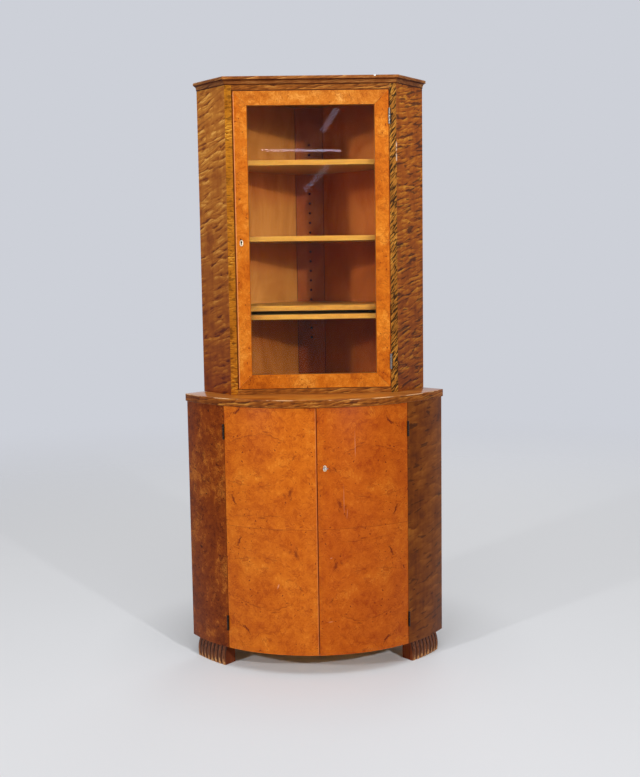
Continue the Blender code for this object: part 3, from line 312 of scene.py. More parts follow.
def draw_section(name, inner_radius, angle_deg, low, high):
    """Draws an upright section of a bowed piece, from an inner radius to the bow, and opens it."""
    bpy.ops.mesh.primitive_plane_add(
        size=1.0, location=point_on_bow((inner_radius + BOW_RADIUS) / 2.0, angle_deg, (low + high) / 2.0),
        rotation=(0.0, math.pi / 2.0, math.radians(angle_deg)))
    piece = take_new((high - low, BOW_RADIUS - inner_radius, 1.0), name)
    start_editing(piece)
    return piece


def spin_section(turn_deg, steps):
    """Spins the section in edit mode round the bow's centre."""
    bpy.ops.mesh.select_all(action="SELECT")
    bpy.ops.mesh.spin(steps=steps, angle=math.radians(turn_deg), center=BOW_CENTRE, axis=(0.0, 0.0, 1.0))


def bowed_board(name, start_deg, end_deg, low, high, to_wall=False):
    """A board on the bow: its section is drawn at one end and spun to the other, or cut at the wall."""
    board = draw_section(name, BOW_RADIUS - BASE_WALL, start_deg, low, high)
    spin_section(start_deg - end_deg, round(abs(end_deg - start_deg) / BOW_STEP_DEG))
    if to_wall:
        side = math.copysign(1.0, start_deg)
        bpy.ops.mesh.select_all(action="SELECT")
        bpy.ops.mesh.bisect(plane_co=(0.0, WALL_PLANE_Y, 0.0), plane_no=(side, 1.0, 0.0), use_fill=True,
                            clear_outer=True)
    end_editing()
    return board


def ease_edges(piece, width, segments=3, sharp_deg=35.0):
    """Rounds the piece's sharp edges by this width and smooths the rest."""
    sharp = math.radians(sharp_deg)
    apply_modifier(piece, "BEVEL", width=width, segments=segments, limit_method="ANGLE", angle_limit=sharp)
    bpy.ops.object.shade_smooth_by_angle(angle=sharp)


def face_materials(piece, outside, edge, inside):
    """One veneer on the face that looks out of the bow, another on the inner face, edge wood elsewhere."""
    for material in (outside, edge, inside):
        piece.data.materials.append(material)
    for face in piece.data.polygons:
        outwards = face.normal.dot(from_bow_axis(face.center).normalized())
        face.material_index = 0 if outwards > 0.75 else 2 if outwards < -0.75 else 1


def add_quilt(add, flat, colours, pad_mm, lean_deg=0.0, contrast=0.6, wobble=0.5, plain=0.3, fine=0.3,
              ticks=None, foot=None):
    """The figure of quilted birch: the fibres dip and rise in pads, each bright along its upper rim,
    where it faces the light, and dark in a crescent below. Ticks are short dark marks where the
    fibres stand on end: length, height in mm, share, strength. A foot is a stretch that gets darker
    downwards, partly the veneer's own tone and partly painted shade where the lamps light the board
    less low down: its lower and upper height and its tint. Returns the colour."""
    leaned = add("SeparateXYZ", add("Mapping", flat, Rotation=(0.0, math.radians(lean_deg), 0.0))).outputs
    level = add("CombineXYZ", leaned["X"], leaned["Z"])
    sheet = add("Mapping", level, Scale=(1000.0 / pad_mm[0], 1000.0 / pad_mm[1], 1.0))
    warped = sheet
    for zoom, reach in ((0.30, 1.7), (1.1, 0.7)):
        sway = add("TexNoise", sheet, Scale=zoom, Detail=3.0, Roughness=0.6)
        sway = add("VectorMath.SUBTRACT", sway.outputs["Color"], (0.5, 0.5, 0.5))
        sideways = wobble * reach * 2.0
        warped = add("VectorMath.MULTIPLY_ADD", sway, (sideways, sideways, 0.0), warped)
    tones = []
    for zoom in (1.0, 1.9):
        pads = add("TexVoronoi", warped, voronoi_dimensions="2D", feature="SMOOTH_F1", Scale=zoom,
                   Smoothness=0.3)
        offset = add("VectorMath.SUBTRACT", warped, pads.outputs["Position"])
        height = add("SeparateXYZ", offset).outputs["Y"]
        tones.append(add("Math.MULTIPLY_ADD", height, 1.05 * zoom, 0.5))
    clouds = add("TexNoise", flat, Scale=13.0, Detail=4.0, Roughness=0.6)
    strength = add("MapRange", clouds, 0.44, 0.56, contrast * plain, contrast)
    tone = add("Mix", strength, clouds, add("Mix", fine, *tones))
    bands = add("TexNoise", add("Mapping", flat, Scale=ALONG_Z), Scale=60.0, Detail=5.0)
    tone = add("Mix", 0.2, tone, bands)
    colour = add("ValToRGB", tone, stops=zip((0.24, 0.37, 0.48, 0.60, 0.78), colours))
    if ticks:
        length_mm, height_mm, share, darkness = ticks
        laid = add("Mapping", level, Scale=(1000.0 / length_mm, 1000.0 / height_mm, 1.0))
        marks = add("TexNoise", laid, Scale=0.6, Distortion=0.5)
        mark = add("MapRange", marks, 0.30 + share * 0.5, 0.22 + share * 0.5, 0.0, darkness)
        colour = add("Mix.RGBA", mark, colour, colours[0])
    if foot:
        low, high, tint = foot
        drop = add("MapRange", add("SeparateXYZ", flat).outputs["Z"], high, low)
        colour = add("Mix.RGBA", drop, colour, (*tint, 1.0), blend_type="MULTIPLY")
    return colour


def finish_veneer(add, shader, flat, colour):
    """Joins a veneer's colour to its shader, with the relief of its fibres."""
    fibre = add("TexNoise", add("Mapping", flat, Scale=(1.0, 1.0, 0.06)), Scale=600.0, Detail=3.0)
    connect(shader.inputs["Base Color"], colour)
    connect(shader.inputs["Normal"], add("Bump", Height=fibre, Strength=0.3, Distance=0.00006))


def figured_birch(name, colours, pad_mm, **figure):
    """One quilted veneer under lacquer, with fine fibres in its surface."""
    material, shader, add, place = new_material(name, 0.36, 0.08)
    finish_veneer(add, shader, place, add_quilt(add, place, colours, pad_mm, **figure))
    return material


def turned_sheet(add, place, turn_deg, shift):
    """Lays a piece on a sheet of veneer that was turned and shifted before the piece was cut."""
    turned = add("Mapping", place, Location=shift, Rotation=(0.0, math.radians(turn_deg), 0.0))
    turned = add("SeparateXYZ", turned).outputs
    return add("CombineXYZ", turned["X"], turned["Z"], turned["Y"])


def mark_frame(add, flat, x_mm, z_mm, length_mm, width_mm, slope_deg):
    """Lays the surface out round one mark, with the mark's middle at 0 and its ends and sides at 1."""
    return add("Mapping", flat, vector_type="TEXTURE", Rotation=(0.0, 0.0, math.radians(slope_deg)),
               Location=(x_mm / 1000.0, z_mm / 1000.0, 0.0), Scale=(length_mm / 2000.0, width_mm / 2000.0, 1.0))


def add_strokes(add, dark, sheet, tone, strokes):
    """Adds single dark streaks with frayed edges: middle, length and width in mm, slope, bend and
    strength. The sheet wobbles under them, by half of wobble_mm to each side."""
    wobble_mm = 20.0
    wobble = add("TexNoise", sheet, Scale=40.0).outputs["Color"]
    reach = (wobble_mm / 1000.0, wobble_mm / 1000.0, 0.0)
    wobbly = add("VectorMath.MULTIPLY_ADD", wobble, reach, sheet)
    fibre = add("TexNoise", sheet, Scale=260.0, Detail=3.0, Roughness=0.6)
    frayed = add("Math.MULTIPLY_ADD", fibre, 2.6, -1.3)
    frayed = add("Math.MULTIPLY_ADD", tone, 1.4, frayed)
    for x_mm, z_mm, length_mm, width_mm, slope_deg, bend, shown in strokes:
        x_mm, z_mm = x_mm + wobble_mm / 2.0, z_mm + wobble_mm / 2.0
        laid = add("SeparateXYZ", mark_frame(add, wobbly, x_mm, z_mm, length_mm, width_mm, slope_deg)).outputs
        square = add("Math.MULTIPLY", laid["X"], laid["X"])
        bent = add("Math.MULTIPLY_ADD", square, bend, laid["Y"])
        lens = add("VectorMath.LENGTH", add("CombineXYZ", laid["X"], bent))
        mark = add("MapRange", add("Math.ADD", frayed, lens), 1.85, 1.10, 0.0, shown)
        dark = add("Math.MAXIMUM", dark, mark)
    return dark


def burr_birch(name, colours, vein, lay, strokes=(), scratches=(), lines_and_painted_light=(), hole=None, right_half_shade=None,
               relief=1.0, roughness=0.34, coat=0.08, pip="#6E260A"):
    """Burr birch veneer under lacquer: cloudy ground full of small curls, fine wavy veins, and dark pips
    where buds were. Lay puts the piece on the sheet. The lines given are: axis, place, half width and
    colour; they draw dark joints, painted shade of the gaps round a door and painted highlights on
    arrises. Scratches are pale: middle, length and width in mm, and slope. A hole paints shade inside
    a keyhole, and a tint for the right half multiplies it darker as painted shade."""
    material, shader, add, place = new_material(name, roughness, coat)
    sheet = lay(add, place)
    curl = add("TexNoise", sheet, Scale=22.0, Detail=4.0, Roughness=0.6)
    curl = add("VectorMath.SUBTRACT", curl.outputs["Color"], (0.5, 0.5, 0.5))
    drawn = add("VectorMath.MULTIPLY_ADD", curl, (0.045, 0.045, 0.0), sheet)
    tone = 0.5
    for scale, detail, weight in ((5.0, 2.0, 0.34), (15.0, 2.0, 0.30), (52.0, 4.0, 0.34), (190.0, 3.0, 0.27),
                                  (650.0, 3.0, 0.26)):
        layer = add("TexNoise", drawn, Scale=scale, Detail=detail, Roughness=0.6, Distortion=0.4)
        layer = add("Math.SUBTRACT", layer, 0.5)
        tone = add("Math.MULTIPLY_ADD", layer, weight * relief, tone)
    colour = add("ValToRGB", tone, stops=zip((0.33, 0.45, 0.55, 0.67), colours))

    patchy = add("TexNoise", sheet, Scale=20.0, Detail=4.0, Roughness=0.7)
    dark = 0.0
    for scale, width, shown, rare in ((12.0, 0.016, 0.6, 0.44), (30.0, 0.034, 0.7, 0.46),
                                      (80.0, 0.07, 0.9, 0.57)):
        wander = add("TexNoise", drawn, Scale=scale, Detail=3.0, Distortion=1.2)
        ridge = add("Math.SUBTRACT", wander, 0.5)
        line = add("MapRange", add("Math.ABSOLUTE", ridge), width, 0.0, 0.0, shown)
        line = add("Math.MULTIPLY", line, add("MapRange", patchy, rare, rare + 0.09))
        dark = add("Math.MAXIMUM", dark, line)
    colour = add("Mix.RGBA", dark, colour, vein)

    buds = add("TexVoronoi", drawn, Scale=75.0, voronoi_dimensions="2D")
    size = add("MapRange", add("SeparateColor", buds.outputs["Color"]), 0.79, 1.0, 0.0, 0.22)
    dark = add("MapRange", add("Math.SUBTRACT", size, buds), 0.0, 0.05, 0.0, 0.9)
    if strokes:
        dark = add_strokes(add, dark, sheet, tone, strokes)
    colour = add("Mix.RGBA", dark, colour, pip)

    here = add("SeparateXYZ", place).outputs
    # Lines: dark joints, painted shade of gaps and painted highlights on arrises.
    for axis, line_at, half_width, line_colour in lines_and_painted_light:
        off = add("Math.SUBTRACT", here[axis], line_at)
        off = add("Math.ABSOLUTE", off)
        line = add("MapRange", off, half_width, half_width * 0.6, 0.0, 0.9)
        colour = add("Mix.RGBA", line, colour, line_colour)
    # Painted shade: the inside of the keyhole is near black.
    if hole:
        off = add("VectorMath.SUBTRACT", place, hole)
        off = add("VectorMath.MULTIPLY", off, (1.0, 0.0, 0.55))
        inside = add("Math.LESS_THAN", add("VectorMath.LENGTH", off), 0.0052)
        colour = add("Mix.RGBA", inside, colour, "#0E0603")
    flat = add("CombineXYZ", here["X"], here["Z"])
    for scratch in scratches:
        lens = add("VectorMath.LENGTH", mark_frame(add, flat, *scratch))
        rough_edge = add("Math.MULTIPLY_ADD", tone, 1.6, lens)
        mark = add("MapRange", rough_edge, 1.7, 1.2, 0.0, 0.30)
        colour = add("Mix.RGBA", mark, colour, "#EBC8A8")
    # Painted shade: the right half is multiplied darker.
    if right_half_shade:
        right_half = add("Math.GREATER_THAN", here["X"], 0.0)
        colour = add("Mix.RGBA", right_half, colour, (*right_half_shade, 1.0), blend_type="MULTIPLY")
    connect(shader.inputs["Base Color"], colour)
    connect(shader.inputs["Normal"], add("Bump", Height=tone, Strength=0.2, Distance=0.0001))
    return material


stile_birch = {
    "left": burr_birch("stained_burr_birch", ("#561C04", "#763208", "#843A0A", "#B06420"), "#3A1002",
                       partial(turned_sheet, turn_deg=90.0, shift=(0.31, 0.0, 0.12)), relief=1.3,
                       roughness=0.36, coat=0.02, pip="#2E0E02"),
    "right": figured_birch("dark_brown_quilted_birch", ("#220E04", "#5C2A08", "#70380A", "#804412", "#945A1C"),
                           (52.0, 24.0), lean_deg=16.0, contrast=0.32, plain=0.2, wobble=0.8,
                           ticks=(22.0, 8.0, 0.21, 0.62))}
stained_lipping = straight_grain("stained_lipping", ("#4A1A0A", "#6A2A12", "#7C3618", "#8E4420"), 3.0, ALONG_Z,
                                 0.4, 0.1)
plain_birch = straight_grain("plain_birch_lining", ("#8E5626", "#A66A34", "#B2763E", "#C0864C"), 12.0, ALONG_Z,
                             0.42, 0.05)
for side, sign in SIDES:
    node = "base_stile_" + side
    low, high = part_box(node)
    stile = bowed_board(node + "_veneered", sign * (JOINT_DEG + GAP_DEG), sign * STILE_END_DEG, low.z, high.z,
                        to_wall=True)
    cut_hinge_pockets(stile, sign)
    ease_edges(stile, BOARD_ROUND)
    face_materials(stile, stile_birch[side], stained_lipping, plain_birch)
    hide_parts(node)
    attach(stile, "cabinet")


# Top board of the base: a bowed board veneered on top, with a lipping of darker birch bent round
# its edge. Its arrises are rubbed round, and a broken pale line along the top of the front arris is a
# painted highlight. Thick lacquer covers the top.
TOP_RADIUS = 0.51075
TOP_REAR_Y = 0.332522
TOP_ROUND = 0.0016
ARRIS_BAND = 0.0028

top_veneer, shader, add, place = new_material("amber_top_veneer", 0.28, 0.65, 0.05)
drawn = add("Mapping", place, Scale=(0.35, 1.0, 1.0))
clouds = add("TexNoise", drawn, Scale=13.0, Detail=5.0, Roughness=0.6, Distortion=0.9)
connect(shader.inputs["Base Color"], add("ValToRGB", clouds, stops=(
    (0.30, "#7A3E14"), (0.45, "#A25C20"), (0.58, "#B8702A"), (0.75, "#C98838"))))
edge_lipping = figured_birch(
    "bent_edge_lipping", ("#381606", "#6C340C", "#884812", "#9C5A1E", "#BE8034"), (44.0, 10.0), lean_deg=8.0,
    contrast=0.7, plain=0.4, wobble=0.6, ticks=(26.0, 3.5, 0.26, 0.65))
low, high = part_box("base_top")
add, place, wood, edge_colour = open_again(edge_lipping)
# Painted highlight: a broken pale line along the top of the front arris stands in for the lamps' glint on its
# rounded lacquer.
arris = add("MapRange", add("SeparateXYZ", place).outputs["Z"], high.z - ARRIS_BAND, high.z - TOP_ROUND)
glint_breaks = add("MapRange", add("TexNoise", place, Scale=14.0, Detail=4.0), 0.47, 0.55, 0.0, 0.85)
worn = add("Math.MULTIPLY", arris, glint_breaks)
connect(edge_colour, add("Mix.RGBA", worn, wood, "#F0D0A4"))
bpy.ops.mesh.primitive_circle_add(
    vertices=240, radius=TOP_RADIUS, fill_type="NGON", location=BOW_CENTRE + Vector((0.0, 0.0, low.z)))
top_board = take_new(name="base_top_board")
start_editing(top_board)
for across, point in ((1.0, WALL_PLANE_Y), (-1.0, WALL_PLANE_Y), (0.0, TOP_REAR_Y)):
    bpy.ops.mesh.select_all(action="SELECT")
    bpy.ops.mesh.bisect(plane_co=(0.0, point, 0.0), plane_no=(across, 1.0, 0.0), clear_outer=True)
bpy.ops.mesh.select_all(action="SELECT")
bpy.ops.mesh.extrude_region_move(TRANSFORM_OT_translate={"value": (0.0, 0.0, high.z - low.z)})
end_editing()
ease_edges(top_board, TOP_ROUND)
top_board.data.materials.append(top_veneer)
top_board.data.materials.append(edge_lipping)
for face in top_board.data.polygons:
    face.material_index = 0 if abs(face.normal.z) > 0.6 else 1
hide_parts("base_top")
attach(top_board, "cabinet")


# Front feet: solid beech, bent to the bow, moulded with half-round reeds that flare towards the
# floor, and stained nearly black. Knocks have worn the reeds' lower ends back to pale wood.
FOOT_START_DEG = 39.6
FOOT_END_DEG = 57.2
FOOT_TOP = 0.0687
FOOT_FULLEST = 0.024
FOOT_BACK_RADIUS = 0.44875
REEDS = 8
REED_DEPTH = 0.003
REED_SETBACK = 0.005
REED_STEPS = 12
FOOT_LEVELS = 10


def foot_front_radius(height):
    """Radius of the reeds' crests: set back at the top, fullest near the floor, tucked in at the toe."""
    if height <= FOOT_FULLEST:
        return BOW_RADIUS - REED_SETBACK - 0.002 * (1.0 - height / FOOT_FULLEST) ** 2
    return BOW_RADIUS - REED_SETBACK - 0.011 * ((height - FOOT_FULLEST) / 0.045) ** 2


def worn_beech(name):
    """Dark stained beech: near black in the grooves, browner on the crests and low down, and pale where worn
    low on the crests.
    """
    material, shader, add, place = new_material(name, 0.42, 0.2)
    parts = add("SeparateXYZ", place).outputs
    across = add("Math.ABSOLUTE", parts["X"])
    ahead = add("Math.SUBTRACT", BOW_CENTRE.y, parts["Y"])
    turn = add("Math.ARCTAN2", across, ahead)
    reed = add("MapRange", turn, math.radians(FOOT_START_DEG), math.radians(FOOT_END_DEG), 0.0, REEDS,
               clamp=False)
    crest = add("Math.PINGPONG", reed, 0.5)
    chips = add("TexNoise", place, Scale=130.0, Detail=4.0, Roughness=0.7)
    low_down = add("MapRange", parts["Z"], 0.034, 0.002, -0.26, 0.30)
    worn = add("Math.ADD", crest, low_down)
    bare = add("MapRange", add("Math.ADD", worn, chips), 0.86, 1.10, 0.0, 0.9)
    streaks = add("TexNoise", add("Mapping", place, Scale=(1.0, 1.0, 0.06)), Scale=420.0, Detail=3.0)
    dark = add("ValToRGB", streaks, stops=(
        (0.3, "#3A1A0C"), (0.5, "#6A3A20"), (0.62, "#864A28"), (0.8, "#9A5C34")))
    pale = add("ValToRGB", streaks, stops=(
        (0.35, "#9A6034"), (0.5, "#C08850"), (0.62, "#D8A468"), (0.8, "#E8C088")))
    stain = add("MapRange", crest, 0.05, 0.34, 0.16, 1.0)
    thin = add("MapRange", parts["Z"], 0.042, 0.012, 0.0, 0.45)
    stain = add("Math.ADD", stain, thin, use_clamp=True)
    dark = add("Mix.RGBA", stain, "#1E0E08", dark)
    connect(shader.inputs["Base Color"], add("Mix.RGBA", bare, dark, pale))
    connect(shader.inputs["Normal"], add("Bump", Height=chips, Strength=0.4, Distance=0.0004))
    return material


foot_wood = worn_beech("worn_stained_beech")
foot_end_wood = straight_grain("red_stained_beech", ("#4A1A0A", "#662C12", "#7C3A1A", "#925026"), 4.0, ALONG_Z,
                               0.4, 0.08)
for side, sign in SIDES:
    foot = draw_section("reeded_foot_" + side, FOOT_BACK_RADIUS, sign * FOOT_START_DEG, 0.0, FOOT_TOP)
    for level in range(1, FOOT_LEVELS):
        bpy.ops.mesh.select_all(action="SELECT")
        bpy.ops.mesh.bisect(plane_co=(0.0, 0.0, FOOT_TOP * level / FOOT_LEVELS), plane_no=(0.0, 0.0, 1.0))
    spin_section(sign * (FOOT_START_DEG - FOOT_END_DEG), REEDS * REED_STEPS)
    end_editing()
    for vertex in foot.data.vertices:
        out = from_bow_axis(vertex.co)
        if out.length > (FOOT_BACK_RADIUS + BOW_RADIUS) / 2.0:
            turn = math.degrees(math.atan2(abs(out.x), -out.y))
            reed = (turn - FOOT_START_DEG) / (FOOT_END_DEG - FOOT_START_DEG) * REEDS
            across = 2.0 * (reed - math.floor(reed + 1e-4)) - 1.0
            crest = math.sqrt(max(0.0, 1.0 - across ** 2))
            radius = foot_front_radius(vertex.co.z) - REED_DEPTH * (1.0 - crest)
            vertex.co += out.normalized() * (radius - out.length)
    select_only(foot)
    bpy.ops.object.shade_smooth_by_angle(angle=math.radians(40.0))
    foot.data.materials.append(foot_wood)
    foot.data.materials.append(foot_end_wood)
    for face in foot.data.polygons:
        outwards = face.normal.dot(from_bow_axis(face.center).normalized())
        face.material_index = 1 if abs(outwards) < 0.2 and abs(face.normal.z) < 0.5 else 0
    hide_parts("foot_front_" + side)
    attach(foot, "cabinet")
give(foot_wood, "foot_back")


# Base doors: two bowed laminations faced with burr birch. One sheet was opened four ways, so the
# figure mirrors from door to door and about a joint at half height. Their edges are lipped.
KEY_DEG = 2.84463
KEY_HEIGHT = 0.6945
KEYHOLE_RADIUS = 0.0030
KEYHOLE_SLOT = (0.0028, 0.0083)
VENEER_JOINT = 0.490
SHEET_SLIP = (0.008, 0.020)
BURR_STROKES = (
    (240.0, 364.0, 42.0, 7.6, -45.0, -1.6, 0.95), (257.0, 67.0, 42.0, 7.0, 63.0, 0.6, 0.95),
    (115.0, 283.0, 84.0, 4.0, 25.0, 4.0, 0.5), (216.0, 282.0, 134.0, 3.6, -16.0, 5.0, 0.45),
    (150.0, 300.0, 24.0, 6.0, 20.0, 0.0, 0.6), (140.0, 24.0, 90.0, 4.0, 3.0, 2.0, 0.45),
    (215.0, 18.0, 60.0, 4.0, -8.0, -2.0, 0.45), (165.0, 16.0, 30.0, 7.0, 0.0, 0.0, 0.7),
    (155.0, 122.0, 76.0, 4.0, -10.0, 3.0, 0.4), (245.0, 124.0, 110.0, 4.0, 6.0, -4.0, 0.4),
    (72.0, 104.0, 26.0, 15.0, 98.0, 0.0, 0.7), (68.0, 84.0, 18.0, 9.0, 110.0, 0.0, 0.6),
    (92.0, 90.0, 16.0, 6.0, 60.0, 0.0, 0.6), (60.0, 215.0, 18.0, 5.0, 120.0, 0.0, 0.6))
SCRATCHES = ((124.0, 763.0, 106.0, 2.6, 90.5), (85.5, 588.0, 120.0, 2.0, 90.5), (96.0, 540.0, 40.0, 1.6, 84.0),
             (-132.0, 300.0, 22.0, 5.0, 70.0), (42.0, 395.0, 10.0, 4.0, 20.0), (38.0, 182.0, 22.0, 4.0, 5.0))


def four_way_sheet(add, place):
    """Lays both doors on one sheet that was opened four ways, with each quarter slipped a little."""
    parts = add("SeparateXYZ", place).outputs
    above = add("Math.SUBTRACT", parts["Z"], VENEER_JOINT)
    side_x = add("Math.SIGN", parts["X"])
    side_z = add("Math.SIGN", above)
    both = add("Math.MULTIPLY", side_x, side_z)
    apart = add("Math.SUBTRACT", side_x, side_z)
    across = add("Math.ABSOLUTE", parts["X"])
    across = add("Math.MULTIPLY_ADD", apart, SHEET_SLIP[0], across)
    above = add("Math.ABSOLUTE", above)
    above = add("Math.MULTIPLY_ADD", both, SHEET_SLIP[1], above)
    return add("CombineXYZ", across, above)


def cut_keyhole(piece, centre, turn_deg, depth):
    """Cuts a keyhole: a round hole with a slot below its centre."""
    bpy.ops.mesh.primitive_cylinder_add(
        vertices=32, radius=KEYHOLE_RADIUS, depth=depth, location=centre,
        rotation=(math.pi / 2.0, 0.0, math.radians(turn_deg)))
    cut_away(piece, take_new())
    width, height = KEYHOLE_SLOT
    cut_box(piece, centre - Vector((0.0, 0.0, height / 2.0)), turn_deg, (width, depth, height))


# Painted light on the doors: the pale line beside the dark meeting band is a painted highlight on the left
# door's arris, and the right half is multiplied darker as painted shade.
base_door_veneer = burr_birch(
    "burr_birch_four_way", ("#A24408", "#BC5C10", "#CA6A16", "#DA862A"), "#963A0A", four_way_sheet,
    strokes=BURR_STROKES, scratches=SCRATCHES, right_half_shade=(0.86, 0.75, 0.62),
    lines_and_painted_light=(("X", -0.0006, 0.0022, "#7E280C"), ("X", -0.0038, 0.0008, "#C67A44"),
           ("Z", VENEER_JOINT, 0.0007, "#8A3C10")))
for side, sign in SIDES:
    node = "base_door_" + side
    low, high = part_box(node)
    door = bowed_board(node + "_veneered", sign * GAP_DEG, sign * (JOINT_DEG - GAP_DEG), low.z, high.z)
    cut_hinge_pockets(door, sign)
    if side == "right":
        cut_keyhole(door, point_on_bow(BOW_RADIUS - BASE_WALL / 2.0, KEY_DEG, KEY_HEIGHT), KEY_DEG, 0.060)
    ease_edges(door, BOARD_ROUND)
    face_materials(door, base_door_veneer, stained_lipping, plain_birch)
    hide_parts(node)
    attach(door, node)


# Hinges, locks, slide bolt and keeper: pressed and polished steel, let in and screwed. Handling and
# damp have dulled it, so the roughness is uneven.

def dulled_metal(name, bright, dull, roughness):
    """Metal with a patchy film."""
    material, shader, add, place = new_material(name, roughness)
    connect(shader.inputs["Metallic"], 1.0)
    film = add("TexNoise", place, Scale=260.0, Detail=4.0, Roughness=0.65)
    connect(shader.inputs["Base Color"], add("ValToRGB", film, stops=((0.35, dull), (0.62, bright))))
    connect(shader.inputs["Roughness"], add("MapRange", film, 0.3, 0.7, roughness + 0.15, roughness - 0.05))
    return material


hinge_steel = dulled_metal("dulled_steel", "#8C8680", "#4A4640", 0.42)
# Painted dark: the base hinges' steel is darkened to stand in for the dark room it reflects, and the lock cases
# are black, partly japanning and partly painted shade seen through the keyholes.
japanned_and_painted_dark_steel = dulled_metal("japanned_and_painted_dark_steel", "#3E3630", "#1A1614", 0.5)
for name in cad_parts:
    if "hinge" in name or "lock" in name or "slide_bolt" in name:
        give(japanned_and_painted_dark_steel if name.startswith("base_hinge") or "case" in name else hinge_steel, name)


# Screws of the hinges and lock cases: turned steel with countersunk slotted heads, driven flush.
# One head is modelled and copied to each place: three on a hinge leaf, four on a lock case.
SCREW_RADIUS = 0.0021
SCREW_HEAD = 0.0005
SCREW_PROUD = 0.00012
SCREW_TURN_DEG = 37.0
LEAF_FACE = 0.00025
LEAF_MIDDLE = 0.0103
LEAF_STAGGER = 0.0016
LEAF_SPACING = 0.0172
UPPER_HINGE_AXIS = (0.255605, -0.134964)
UPPER_HINGE_HEIGHTS = (1.0183, 1.8202)
UPPER_FRAME_TURN = -37.36
UPPER_KEYHOLE = (-0.233855, -0.111164, 1.41925)


def upright_turn(angle_deg):
    """A turn about the upright."""
    return Matrix.Rotation(math.radians(angle_deg), 4, "Z")


BASE_LOCK_PLACE = Matrix.Translation((0.024007, -0.282568, KEY_HEIGHT)) @ upright_turn(KEY_DEG)
UPPER_LOCK_PLACE = Matrix.Translation(UPPER_KEYHOLE)
bpy.ops.mesh.primitive_cylinder_add(
    vertices=24, radius=SCREW_RADIUS, depth=SCREW_HEAD, location=(SCREW_HEAD / 2.0 - SCREW_PROUD, 0.0, 0.0),
    rotation=(0.0, math.pi / 2.0, 0.0))
screw = take_new(name="screw_pattern")
cut_box(screw, (-SCREW_PROUD, 0.0, 0.0), 0.0, (0.0005, 0.0006, 0.01))
ease_edges(screw, 0.00006, 1)
screw.data.materials.append(hinge_steel)
leaves = []
for side, sign in SIDES:
    for height in BASE_HINGE_HEIGHTS:
        axis = (Matrix.Translation(point_on_bow(HINGE_AXIS_RADIUS, sign * JOINT_DEG, height))
                @ upright_turn(sign * JOINT_DEG))
        leaves += [(axis, sign, "cabinet"), (axis, -sign, "base_door_" + side)]
for height in UPPER_HINGE_HEIGHTS:
    axis = Matrix.Translation((*UPPER_HINGE_AXIS, height))
    leaves += [(axis @ upright_turn(UPPER_FRAME_TURN), 1.0, "cabinet"), (axis, -1.0, "upper_door")]
drives = []
for axis, sign, body in leaves:
    for step in (-1.0, 0.0, 1.0):
        across = LEAF_MIDDLE + LEAF_STAGGER * (abs(step) - 0.5)
        hole = Matrix.Translation((sign * LEAF_FACE, across, LEAF_SPACING * step))
        drives.append((axis @ hole @ upright_turn(0.0 if sign > 0.0 else 180.0), body))
for place, case_back, body in ((BASE_LOCK_PLACE, 0.01185, "base_door_right"),
                               (UPPER_LOCK_PLACE, 0.0113, "upper_door")):
    for across in (-0.0165, 0.0145):
        for up in (-0.0065, 0.0190):
            drives.append((place @ Matrix.Translation((across, case_back, up)) @ upright_turn(-90.0), body))
for number, (place, body) in enumerate(drives):
    copy = screw.copy()
    copy.data = screw.data.copy()
    copy.name = "screw_%02d" % number
    copy.data.transform(place @ Matrix.Rotation(math.radians(SCREW_TURN_DEG * number), 4, "X"))
    bpy.context.scene.collection.objects.link(copy)
    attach(copy, body)
bpy.data.objects.remove(screw)


# Sides, floor and top of the upper case: the sides are boards canted back to the walls, veneered
# with flame birch. Their front edges show beside the door, the left one gold, the right one streaked.
SIDE_TURNS = {"left": 52.64, "right": 127.36}
SIDE_ARRIS_X = (0.279, 0.281)


def side_veneers(side, name, quilt, strip, knock=None):
    """Three veneers on one board: the quilt outside, the strip on the front edge, a plain lining
    inside. A knock is a stretch of the front arris that lost its finish: two heights, and a breadth."""
    material, shader, add, place = new_material(name, 0.36, 0.08)
    facing = add("SeparateXYZ", add("TexCoord").outputs["Normal"]).outputs["Y"]
    flat = add("Mapping", place, Rotation=(0.0, 0.0, math.radians(SIDE_TURNS[side])))
    front = add("Math.LESS_THAN", facing, -0.9)
    inside = add("Math.GREATER_THAN", facing, 0.4)
    outer = add_quilt(add, flat, **quilt)
    colour = add("Mix.RGBA", front, outer, add_quilt(add, place, **strip))
    colour = add("Mix.RGBA", inside, colour, "#A4622C")
    if knock:
        low, high, breadth = knock
        bare = add("MapRange", add("TexNoise", place, Scale=90.0, Detail=3.0), 0.34, 0.60, 0.0, 0.7)
        bare = only_where(
            add, bare, add("SeparateXYZ", place).outputs, ("Z", "GREATER_THAN", low), ("Z", "LESS_THAN", high),
            ("X", "GREATER_THAN", SIDE_ARRIS_X[0] - breadth), ("X", "LESS_THAN", SIDE_ARRIS_X[1]))
        colour = add("Mix.RGBA", bare, colour, "#EADCC8")
    finish_veneer(add, shader, flat, colour)
    give(material, "upper_side_" + side)


